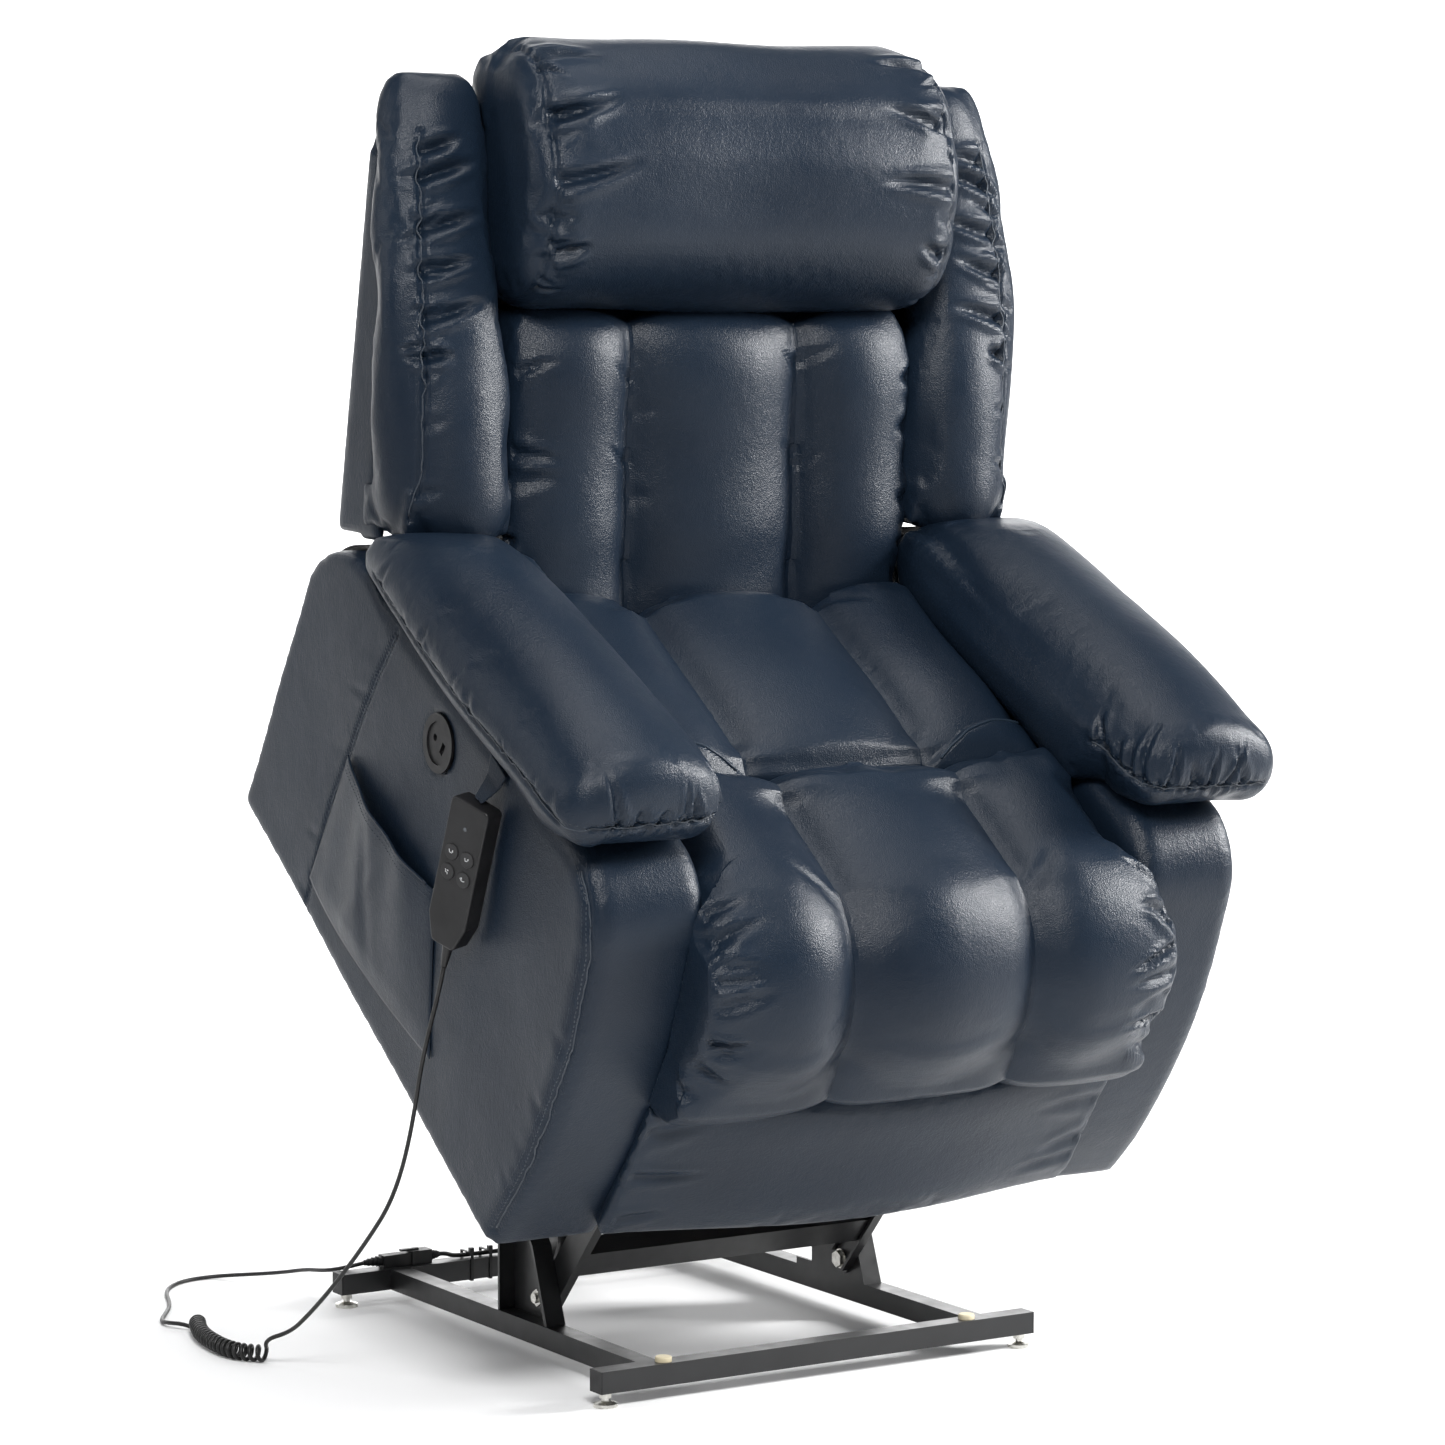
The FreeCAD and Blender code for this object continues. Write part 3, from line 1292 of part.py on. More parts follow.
def wing():
    """Right wing: a tall bolster beside the back cushion and the head pillow."""
    rows = (
        (147.4, -124, -48, 290, 396),
        (156, -132, -38, 280, 404),
        (190, -137, -28, 270, 414),
        (300, -122, -34, 268, 424),
        (410, -96, -42, 281, 428),
        (470, -79, -21, 281, 426),
        (540, -60, -5, 281, 420),
        (612, -38, 20, 286, 404),
        (640, -24, 22, 294, 392),
        (650, -12, 16, 306, 380),
    )
    stations = [*rows[:2], *smooth_rows(rows[2:8], 11), *rows[8:]]
    behind = shell_block(0)
    behind.translate(Vector(0, -size("near_gap"), 0))
    return loft([wing_section(*station) for station in stations]).cut(behind)


def pillow_section(across, draw):
    """Side view of the head pillow, drawn in by a share at its ends."""
    centre = Vector(across, -62, 556)

    def place(depth, up):
        return centre + Vector(0, (depth + 62) * draw, (up - 556) * draw)

    return outline(
        place(-14.4, 410),
        (place(-80, 402), place(-132, 428)),
        (place(-164, 520), place(-138, 622)),
        (place(-98, 680), place(-28, 696)),
        (place(14, 690), place(26, 660)),
        place(-14.4, 636),
        place(-14.4, 410),
    )


def head_pillow():
    half = size("pillow_half")
    edge = [(half, 0.78), (half - 5, 0.88), (half - 18, 0.96), (half - 45, 1.0)]
    middle = [((half - 90) * place / 3, 1.0) for place in range(-3, 4)]
    stations = [(-across, draw) for across, draw in edge] + middle + edge[::-1]
    return loft([pillow_section(across, draw) for across, draw in stations]).cut(behind_posts())


def shell_outline(wall):
    """Side view of the back shell; with a wall given, the open-fronted hollow inside it."""
    low = 30 if wall else 0
    front = 60 if wall else 0
    return outline(
        side_point(-34 - low, 133 - low),
        side_point(76 - wall, 130 - low),
        side_point(40 - wall, 612 - wall),
        (side_point(38 - wall, 624 - wall), side_point(27 - wall, 627 - wall)),
        side_point(3 - wall - front, 567),
        side_point(-20 - front, 460),
        side_point(-41 - front, 405),
        side_point(-22 - front, 215),
    )


def shell_block(wall):
    half = size("shell_half") - wall
    block = Part.Face(shell_outline(wall)).extrude(Vector(2 * half, 0, 0))
    block.translate(Vector(-half, 0, 0))
    return block


def back_shell():
    """Rear and side cover of the back: an open-fronted tray that tapers to its top."""
    half = size("shell_half")
    outer = shell_block(0)
    rear_edges = [
        edge for edge in outer.Edges if edge.BoundBox.XLength < 0.01 and edge.BoundBox.ZLength > 400
    ]
    outer = outer.makeFillet(18, rear_edges)
    crown = Part.Face(
        outline(
            Vector(-half - 1, -200, 0),
            Vector(half + 1, -200, 0),
            Vector(half + 1, -200, 500),
            (Vector(half - 12, -200, 585), Vector(half - 56, -200, 640)),
            Vector(56 - half, -200, 640),
            (Vector(12 - half, -200, 585), Vector(-half - 1, -200, 500)),
        )
    )
    outer = outer.common(crown.extrude(Vector(0, 400, 0)))
    return outer.cut(shell_block(size("shell_wall")))


def gap_cloth():
    """Black cloth that closes the gap between the arm box's round corner and the back shell."""
    pieces = []
    for low in (size("panel_in") + 3, -size("shell_half")):
        face = Part.Face(
            outline(
                side_point(56, 130.1),
                about(Vector(), 118, 62),
                (about(Vector(), 118, 81), about(Vector(), 118, 100)),
                side_point(-20, 132.3),
            )
        )
        strip = face.extrude(Vector(size("shell_half") - size("panel_in") - 3, 0, 0))
        strip.translate(Vector(low, 0, 0))
        pieces.append(strip)
    return pieces


def build_seat_group():
    right = feature("arm_box_right", arm_box())
    outlet_hole = cylinder(
        "outlet_hole",
        "x",
        "Sizes.outlet_radius - 4.5",
        ("Sizes.outlet_s", "Sizes.outlet_n"),
        ("-Sizes.panel_out - 1", "-Sizes.panel_out + Sizes.panel_wall + 1"),
    )
    node("side_panel_left", cut("arm_box_left", mirror(right), outlet_hole), place=SEAT_PLACE)
    node("side_panel_right", right, place=SEAT_PLACE)
    pad = feature("arm_pad_shape", arm_pad())
    node("arm_pad_left", mirror(pad), place=SEAT_PLACE)
    node("arm_pad_right", pad, place=SEAT_PLACE)
    node("seat_cushion", feature("seat_cushion_shape", seat_cushion()), place=SEAT_PLACE)
    node("seat_front_pad", feature("seat_front_shape", seat_front_pad()), place=SEAT_PLACE)
    node("knee_roll", feature("knee_roll_shape", knee_roll()), place=SEAT_PLACE)


def build_footrest():
    node("leg_pad", feature("leg_pad_shape", leg_pad()), place=SEAT_PLACE)
    node("footrest_board", feature("footrest_board_shape", footrest_board()), place=SEAT_PLACE)
    corners = (
        ("Sizes.knee_pin_s - 8", "Sizes.knee_pin_n + 6"),
        ("Sizes.knee_pin_s + 8", "Sizes.knee_pin_n + 6"),
        ("Sizes.knee_pin_s + 10", "Sizes.knee_pin_n - 8"),
        ("54", "200"),
        ("30", "60"),
        ("0.3", "50"),
        ("0.3", "210"),
        ("28", "222"),
        ("Sizes.knee_pin_s - 10", "Sizes.knee_pin_n - 8"),
    )
    hole = (("Sizes.knee_pin_s", "Sizes.knee_pin_n", "Sizes.motor_pin_radius + Sizes.running_gap"),)
    arm = plate("footrest_arm_plate", corners, ("Worked.mech_in - 5.7", "Worked.mech_in - 0.5"), hole)
    bar = cylinder(
        "footrest_bar", "x", "9", ("30", "120"), ("-(Worked.mech_in - 5.7)", "Worked.mech_in - 5.7")
    )
    node("footrest_arms", arm, mirror(arm), bar, place=SEAT_PLACE)


def build_back():
    node("back_cushion", feature("back_cushion_shape", back_cushion()), place=BACK_PLACE)
    node("head_pillow", feature("head_pillow_shape", head_pillow()), place=BACK_PLACE)
    side = feature("wing_shape", wing())
    node("wing_left", mirror(side), place=BACK_PLACE)
    node("wing_right", side, place=BACK_PLACE)
    node("back_shell", feature("back_shell_shape", back_shell()), place=BACK_PLACE)
    across = ("-Sizes.back_half", "Sizes.back_half")
    sheet = box("skirt_sheet", across, ("64", "72"), ("-55", "129.5"))
    slot = box("skirt_slot", ("Worked.mech_in - 3", "Worked.mech_out + 3"), ("60", "80"), ("-60", "6"))
    skirt = cut("skirt", sheet, slot, mirror(slot))
    cloths = [feature(f"gap_cloth_{number}", strip) for number, strip in enumerate(gap_cloth())]
    node("back_lining", skirt, *cloths, place=BACK_PLACE)
    build_back_frame()


def build_back_frame():
    """Wooden back frame on two steel hinge plates; the plates run down to the recline lever's bar."""
    post = box("back_post", ("Worked.mech_out + 8", "Worked.mech_out + 38"), ("-14", "14"), ("36", "596"))
    to_shell = "(Sizes.shell_half - Sizes.shell_wall - Sizes.near_gap)"
    low_bar = box("back_bar_low", (f"-{to_shell}", to_shell), ("14", "30"), ("150", "190"))
    top_bar = box(
        "back_bar_top", ("-(Worked.mech_out + 80)", "Worked.mech_out + 80"), ("14", "26"), ("560", "596")
    )
    node("back_frame", post, mirror(post), low_bar, top_bar, place=BACK_PLACE)
    corners = (
        ("-14", "120"),
        ("-14", "16"),
        ("-14", "-10"),
        ("Worked.lever_y - 12", "Worked.lever_z - 4"),
        ("Worked.lever_y - 4", "Worked.lever_z - 12"),
        ("Worked.lever_y + 8", "Worked.lever_z - 10"),
        ("Worked.lever_y + 12", "Worked.lever_z + 4"),
        ("18", "-6"),
        ("20", "16"),
        ("20", "120"),
    )
    hole = (("0", "0", "Sizes.bolt_radius + Sizes.running_gap"),)
    hinge = plate("back_hinge", corners, ("Worked.mech_out + 2", "Worked.mech_out + 7.7"), hole)
    bar = cylinder(
        "lever_bar",
        "x",
        "9",
        ("Worked.lever_y + 2", "Worked.lever_z"),
        ("-(Worked.mech_out + 2)", "Worked.mech_out + 2"),
    )
    gap = box(
        "lever_gap",
        ("-16", "16"),
        ("Worked.lever_y - 30", "Worked.lever_y + 30"),
        ("Worked.lever_z - 30", "Worked.lever_z + 30"),
    )
    split_bar = cut("lever_bar_split", bar, gap)
    bow_corners = (
        ("Worked.lever_y - 9", "Worked.lever_z - 9"),
        ("Worked.lever_y + 9", "Worked.lever_z - 9"),
        ("Worked.lever_y + 58", "Worked.lever_z + 16"),
        ("Worked.lever_y + 58", "Worked.lever_z + 34"),
        ("Worked.lever_y - 9", "Worked.lever_z + 9"),
    )
    bow = plate("lever_tongue", bow_corners, ("-Sizes.tongue_half", "Sizes.tongue_half"))
    web = box(
        "lever_web",
        ("-40", "40"),
        ("Worked.lever_y + 46", "Worked.lever_y + 58"),
        ("Worked.lever_z + 16", "Worked.lever_z + 34"),
    )
    stays = box(
        "lever_stay",
        ("26", "40"),
        ("Worked.lever_y - 6", "Worked.lever_y + 58"),
        ("Worked.lever_z - 6", "Worked.lever_z + 6"),
    )
    stay_rise = box(
        "lever_stay_rise",
        ("26", "40"),
        ("Worked.lever_y + 46", "Worked.lever_y + 58"),
        ("Worked.lever_z - 6", "Worked.lever_z + 34"),
    )
    node("back_hinge_plates", hinge, mirror(hinge), place=BACK_PLACE)
    lever = fuse("back_lever_body", split_bar, bow, web, stays, stay_rise, mirror(stays), mirror(stay_rise))
    node("back_lever", lever, place=BACK_PLACE)


# Side fittings: pocket, outlet, strap and handset


def build_pocket():
    """Flat leather pocket on the left arm box, open along its upper edge."""
    out = size("panel_out")

    def wire(margin, x):
        return outline(
            Vector(x, 553 - margin, 222 + (30 if margin else 0)),
            Vector(x, 545 - margin, 60),
            (Vector(x, 538 - margin, 32 + margin), Vector(x, 505, 26 + margin)),
            Vector(x, 230, 66 + margin),
            (Vector(x, 214 + margin, 70 + margin), Vector(x, 216 + margin, 90)),
            Vector(x, 306 + margin, 240 + (30 if margin else 0)),
            Vector(x, 425, 226 + (30 if margin else 0)),
        )

    outer = Part.Face(wire(0, -out - 13)).extrude(Vector(12.7, 0, 0))
    hollow = Part.Face(wire(5, -out - 10.5)).extrude(Vector(7.7, 0, 0))
    pocket = outer.cut(hollow)
    node("side_pocket", feature("side_pocket_shape", pocket), place=SEAT_PLACE)


def build_outlet():
    """Round power outlet: a ring seated in the arm box with a sunk plate and two ports."""
    out = "-Sizes.panel_out"
    centre = ("Sizes.outlet_s", "Sizes.outlet_n")
    rim = cylinder(
        "outlet_rim", "x", "Sizes.outlet_radius", centre, (f"{out} - 3.4", f"{out} - Sizes.near_gap")
    )
    barrel = cylinder(
        "outlet_barrel", "x", "Sizes.outlet_radius - 5", centre, (f"{out} - 1", f"{out} + 20")
    )
    dish = cylinder("outlet_dish", "x", "Sizes.outlet_radius - 9", centre, (f"{out} - 4", f"{out} - 1.4"))
    usb = box(
        "outlet_port",
        (f"{out} - 4", f"{out} + 10"),
        ("Sizes.outlet_s - 13.5", "Sizes.outlet_s - 6.5"),
        ("Sizes.outlet_n - 7", "Sizes.outlet_n + 7"),
    )
    jack = cylinder(
        "outlet_jack", "x", "4", ("Sizes.outlet_s + 10", "Sizes.outlet_n"), (f"{out} - 4", f"{out} + 10")
    )
    node(
        "power_outlet",
        cut("outlet_body", fuse("outlet_blank", rim, barrel), dish, usb, jack),
        place=SEAT_PLACE,
    )


HANDSET_PLACE = SEAT_PLACE.multiply(
    Placement(Vector(-HANDSET_OUT, size("handset_s"), size("handset_n")), turn_x(-size("handset_lean")))
).multiply(Placement(Vector(), Rotation(Vector(0, 0, 1), size("handset_yaw"))))


def handset_block(near, far, margin):
    """The handset's outline hanging down from its hook, between two depths, its corners rounded."""
    half = size("handset_wide") / 2 - margin
    foot = -size("handset_long") + margin
    toe = 16 - margin / 2
    corners = [
        Vector(near, -half, -margin),
        Vector(near, half, -margin),
        Vector(near, half, foot + 30),
        Vector(near, toe, foot),
        Vector(near, -toe, foot),
        Vector(near, -half, foot + 30),
    ]
    block = Part.Face(outline(*corners, corners[0])).extrude(Vector(far - near, 0, 0))
    upright = [edge for edge in block.Edges if edge.BoundBox.XLength > far - near - 0.01]
    return block.makeFillet(7 - margin, upright)


BUTTON_PLACES = {
    "button_lift": (-11.5, -62),
    "button_lower": (11.5, -62),
    "button_recline": (-11.5, -86),
    "button_return": (11.5, -86),
}


def build_handset():
    half = size("handset_thick") / 2
    wall = size("handset_wall")
    radius = size("button_radius")
    front = handset_block(-half, -1, 0)
    front = front.makeFillet(2.5, [edge for edge in front.Edges if abs(edge.BoundBox.XMax + half) < 0.01])
    front = front.cut(handset_block(-half + wall, 0, wall))
    for along, up in BUTTON_PLACES.values():
        front = front.cut(
            Part.makeCylinder(radius + 0.35, 8, Vector(-half - 2, along, up), Vector(1, 0, 0))
        )
    front = front.cut(Part.makeCylinder(2.3, 8, Vector(-half - 2, 0, -30), Vector(1, 0, 0)))
    rear = handset_block(-1, half, 0)
    rear = rear.makeFillet(2.5, [edge for edge in rear.Edges if abs(edge.BoundBox.XMin - half) < 0.01])
    rear = rear.cut(handset_block(-2, half - wall, wall))
    node("handset_front", feature("handset_front_shape", front), place=HANDSET_PLACE)
    node("handset_rear", feature("handset_rear_shape", rear), place=HANDSET_PLACE)
    for name, (along, up) in BUTTON_PLACES.items():
        cap = Part.makeCylinder(
            radius,
            size("button_proud") + 6,
            Vector(-half - size("button_proud"), along, up),
            Vector(1, 0, 0),
        )
        rim = [edge for edge in cap.Edges if edge.BoundBox.XMax < -half - size("button_proud") + 0.01]
        cap = cap.makeFillet(0.8, rim)
        flange = Part.makeCylinder(
            radius + 1.4, 1.6, Vector(-half + wall + 0.3, along, up), Vector(1, 0, 0)
        )
        node(name, feature(name + "_cap", cap.fuse(flange)), place=HANDSET_PLACE)
    foot = -size("handset_long")
    board = Part.makeBox(1.6, 38, 118, Vector(half - wall - 1.9, -19, foot + 44))
    node("handset_board", feature("handset_board_shape", board), place=HANDSET_PLACE)
    lens = Part.makeCylinder(2.2, 3, Vector(-half - 0.4, 0, -30), Vector(1, 0, 0))
    node("indicator_lens", feature("indicator_lens_shape", lens), place=HANDSET_PLACE)
    boot = Part.makeCone(6.5, 3.6, 28, Vector(0, 0, foot - 0.02), Vector(0, 0, -1))
    node("handset_boot", feature("handset_boot_shape", boot), place=HANDSET_PLACE)


def build_strap():
    """Leather strap that comes from under the arm pad and holds the handset's hook."""
    face = -size("panel_out") - 1.8
    lean = math.radians(size("handset_lean"))
    stations = (
        (face, size("handset_s") + 14, size("handset_n") + 40, 20, 0.0),
        (face - 3, size("handset_s") + 8, size("handset_n") + 22, 15, lean / 2),
        (-HANDSET_OUT, size("handset_s"), size("handset_n") + 2.6, 8, lean),
    )
    wires = []
    for x, along, up, half, slant in stations:
        reach = Vector(0, half * math.cos(slant), -half * math.sin(slant))
        middle = Vector(x, along, up)
        thick = Vector(1.5, 0, 0)
        wires.append(
            outline(
                middle - reach - thick,
                middle - reach + thick,
                middle + reach + thick,
                middle + reach - thick,
            )
        )
    node(
        "handset_strap", feature("handset_strap_shape", Part.makeLoft(wires, True, True)), place=SEAT_PLACE
    )


# Cords. The routes are chosen by hand; their second value is counted from the front face of the base.

CURL_ROUTE = (
    (-502.0, 400.0, 10.6),
    (-516.0, 414.0, 10.6),
    (-525.5, 434.0, 10.6),
    (-528.0, 460.0, 10.6),
    (-526.0, 490.0, 10.6),
    (-521.0, 526.0, 10.6),
    (-509.0, 564.0, 10.6),
    (-497.0, 591.0, 10.6),
)


def rounded_path(points):
    """Straight runs joined by tangent arcs, each as large as its two runs allow."""
    corners = [Vector(x, y + FRONT, z) for x, y, z in points]
    edges = []
    here = corners[0]
    radii = []
    for before, corner, after in zip(corners, corners[1:], corners[2:]):
        run_in = corner - before
        run_out = after - corner
        half_turn = run_in.getAngle(run_out) / 2
        share = 0.45 * min(run_in.Length, run_out.Length)
        radii.append(share / math.tan(half_turn))
        start = corner - Vector(run_in).normalize() * share
        end = corner + Vector(run_out).normalize() * share
        inward = (Vector(run_out).normalize() - Vector(run_in).normalize()).normalize()
        middle = corner + inward * (radii[-1] / math.cos(half_turn) - radii[-1])
        edges.append(Part.LineSegment(here, start).toShape())
        edges.append(Part.Arc(start, middle, end).toShape())
        here = end
    edges.append(Part.LineSegment(here, corners[-1]).toShape())
    return Part.Wire(edges), radii


CURL_STEPS = 16


def curl_points():
    """Points of the curly stretch: a helix round a flat route, CURL_STEPS of them to each half turn."""
    sweep = 360 * size("curl_turns") + size("curl_end") - size("curl_start")
    count = round(sweep / 180) * CURL_STEPS
    axis = rounded_path(CURL_ROUTE)[0].discretize(Number=count + 1)
    radius = size("curl_outer") - size("cord_radius")
    points = []
    for step, centre in enumerate(axis):
        ahead = axis[min(step + 1, count)] - axis[max(step - 1, 0)]
        inner_side = Vector(-ahead.y, ahead.x, 0).normalize()
        angle = math.radians(size("curl_start") + sweep * step / count)
        points.append(
            centre + inner_side * (radius * math.cos(angle)) + Vector(0, 0, radius * math.sin(angle))
        )
    return points


CURL_POINTS = curl_points()
CURL_ENDS = [
    (point.x, point.y - FRONT, point.z)
    for point in (
        CURL_POINTS[0] + (CURL_POINTS[0] - CURL_POINTS[1]).normalize() * 26,
        CURL_POINTS[0],
        CURL_POINTS[-1],
        CURL_POINTS[-1] + (CURL_POINTS[-1] - CURL_POINTS[-2]).normalize() * 16,
    )
]

DROP_ROUTE = (
    (-446.0, 69.4, 494.35),
    (-446.2, 83.0, 460.0),
    (-447.5, 101.0, 421.0),
    (-450.0, 117.0, 375.0),
    (-453.5, 128.5, 317.0),
    (-457.6, 146.0, 261.0),
    (-462.2, 170.0, 216.0),
    (-467.4, 204.0, 178.0),
    (-472.9, 246.0, 137.0),
    (-478.9, 288.0, 98.5),
    (-485.0, 328.0, 65.0),
    (-491.8, 357.0, 42.5),
    *CURL_ENDS[:2],
)
TAIL_ROUTE = (
    *CURL_ENDS[2:],
    (-521.0, 626.0, 6.0),
    (-515.0, 654.0, 2.6),
    (-497.0, 682.0, 2.6),
    (-477.0, 712.0, 2.6),
    (-460.0, 748.0, 2.6),
    (-447.0, 785.0, 2.6),
    (-430.0, 816.0, 2.6),
    (-403.0, 841.0, 2.6),
    (-371.0, 850.0, 2.6),
    (-342.0, 838.0, 4.5),
    (-318.0, 802.0, 10.0),
    (-302.0, 755.0, 19.0),
    (-295.0, 705.0, 31.0),
    (-297.0, 660.0, 37.5),
    (-288.5, 629.5, 44.0),
    (-262.0, 618.5, 50.3),
)
LEAD_ROUTE = (
    (-158.9, 618.5, 50.4),
    (-150.0, 618.6, 50.4),
    (-140.0, 618.4, 46.2),
    (-118.0, 618.6, 45.2),
    (-92.0, 618.2, 45.3),
    (-68.0, 612.0, 47.0),
    (-52.0, 596.0, 60.0),
    (-50.0, 577.0, 79.0),
    (-43.0, 556.0, 95.5),
    (-28.6, 550.5, 98.6),
)


def arc_between(start, corner, end):
    """The arc that leaves start towards corner and arrives at end from corner, both legs being equal."""
    chord = (end - start) * 0.5
    middle = start + chord
    rise = corner - middle
    bend = math.atan2(rise.Length, chord.Length) / 2
    return Part.Arc(start, middle + rise.normalize() * (chord.Length * math.tan(bend)), end).toShape()


def biarc(start, leaving, end, arriving):
    """Two arcs from start to end that keep the directions given at both."""
    run = end - start
    both = leaving + arriving
    spread = 2 * (1 - leaving.dot(arriving))
    along = run.dot(both)
    leg = (math.sqrt(along**2 + spread * run.dot(run)) - along) / spread
    first = start + leaving * leg
    second = end - arriving * leg
    join = (first + second) * 0.5
    return [arc_between(start, first, join), arc_between(join, second, end)]


def curl_tube():
    """The curly stretch as one tube on biarcs of half a turn, with its least gap to itself printed."""
    points = CURL_POINTS
    last = len(points) - 1
    edges = []
    for near in range(0, last, CURL_STEPS):
        far = near + CURL_STEPS
        leaving = (points[near + 1] - points[max(near - 1, 0)]).normalize()
        arriving = (points[min(far + 1, last)] - points[far - 1]).normalize()
        edges.extend(biarc(points[near], leaving, points[far], arriving))
    path = Part.Wire(edges)
    radius = size("cord_radius")
    ring = Part.Wire([Part.Circle(points[0], points[1] - points[0], radius).toShape()])
    tube = path.makePipeShell([ring], True, False)
    apart = CURL_STEPS
    least = min(
        (points[first] - points[second]).Length
        for first in range(0, last + 1)
        for second in range(first + apart, min(first + 5 * apart, last) + 1)
    )
    ideal = math.pi * radius**2 * path.Length
    print(f"cord_curl: length {path.Length:.0f} mm, least gap to itself {least - 2 * radius:.2f} mm")
    print(f"cord_curl: volume {tube.Volume / ideal:.4f} of section times length")
    return feature("cord_curl_tube", tube)


def cord_tube(name, points, radius):
    path, radii = rounded_path(points)
    first = path.Edges[0]
    direction = first.valueAt(first.LastParameter) - first.valueAt(first.FirstParameter)
    start = first.valueAt(first.FirstParameter)
    ring = Part.Wire([Part.Circle(start, direction, radius).toShape()])
    tube = path.makePipeShell([ring], True, False)
    ideal = math.pi * radius**2 * path.Length
    print(f"{name}: length {path.Length:.0f} mm, tightest bend {min(radii):.1f} mm")
    print(f"{name}: volume {tube.Volume / ideal:.4f} of section times length")
    return feature(name + "_tube", tube)


def build_cords():
    node("cord_drop", cord_tube("cord_drop", DROP_ROUTE, size("cord_radius")))
    node("cord_curl", curl_tube())
    node("cord_tail", cord_tube("cord_tail", TAIL_ROUTE, size("cord_radius")))
    node("motor_lead", cord_tube("motor_lead", LEAD_ROUTE, size("cord_radius") + 0.75))


def ribbed_boot(start, away, radius, length):
    """A bend-relief boot: a slim sleeve with three rings, its wide end at start."""
    slope = Part.makeCone(radius, radius * 0.62, length, start, away)
    for number in range(3):
        place = start + away * (length * (0.2 + 0.25 * number))
        slope = slope.fuse(Part.makeCylinder(radius * (1.12 - 0.14 * number), length * 0.1, place, away))
    return slope


def build_connector():
    """The two-part plug that lies on the rear tube and joins the handset cord to the motor's lead."""
    rear = FRONT + size("base_depth")
    top = size("foot_height") + size("tube_size")
    middle = rear - 11.5
    plug = Part.makeBox(38, 15, 15.4, Vector(-238, middle - 7.5, top + 0.3))
    socket = Part.makeBox(27, 18, 17.4, Vector(-200, middle - 9, top + 0.3))
    latch = Part.makeBox(24, 6, 2.4, Vector(-212, middle - 3, top + 17.7))
    left = ribbed_boot(Vector(-238, middle, top + 8.8), Vector(-1, 0, 0), 5.6, 23)
    right = ribbed_boot(Vector(-173, middle, top + 8.8), Vector(1, 0, 0), 5.6, 14)
    body = plug.fuse([socket, latch])
    node("cord_connector", feature("cord_connector_shape", body))
    node("connector_boots", feature("boot_left", left), feature("boot_right", right))
    ties = []
    for place in (-122.0, -96.0):
        band = Part.makeBox(3.6, 28.2, 34.8, Vector(place, rear - 26.6, size("foot_height") - 1.4))
        hole = Part.makeBox(5, 25.4, 32.2, Vector(place - 0.7, rear - 25.2, size("foot_height") - 0.15))
        head = Part.makeBox(5.6, 5, 6, Vector(place - 1, rear - 26, top + 8.4))
        ties.append(feature(f"tie_{len(ties)}", band.cut(hole).fuse(head)))
    node("cable_ties", *ties)


DOCUMENT.recompute()
build_base()
build_lift_arms()
build_upper_links()
actuator("lift_motor", "lift_motor_length", LIFT_MOTOR_PLACE, 1)
build_motor_bracket()
build_mechanism()
actuator("recline_motor", "recline_motor_length", RECLINE_MOTOR_PLACE, -1)
build_seat_rails()
build_springs()
build_seat_group()
build_footrest()
build_back()
build_pocket()
build_outlet()
build_strap()
build_handset()
build_cords()
build_connector()
DOCUMENT.recompute()

def check_document():
    faults = [
        thing.Name for thing in DOCUMENT.Objects if "Invalid" in thing.State or "Error" in thing.State
    ]
    for part in NODES:
        if part.Shape.isNull() or not part.Shape.isValid() or not part.Shape.Solids:
            faults.append(part.Label)
    if faults:
        sys.exit("failed objects: " + ", ".join(faults))


def write_parts():
    os.makedirs("parts", exist_ok=True)
    for part in NODES:
        part.Shape.exportStep(f"parts/{part.Label}.step")
    print(f"{len(NODES)} sub-parts written")


check_document()
write_parts()
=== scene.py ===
# %% [markdown]
# # A lift recliner chair, upholstered over its CAD frame
#
# The chair is a powered lift recliner, raised on the arms of its base. The CAD model already has the steel
# base, the motors, the hinges and plain solids for everything soft. This notebook dresses it: padded
# leather, seams, stitching, the curly handset cord and a finish for every piece.

# %% Load the frame
import json
import math

import bmesh
import bpy
import numpy as np
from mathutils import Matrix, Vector
from mathutils.bvhtree import BVHTree


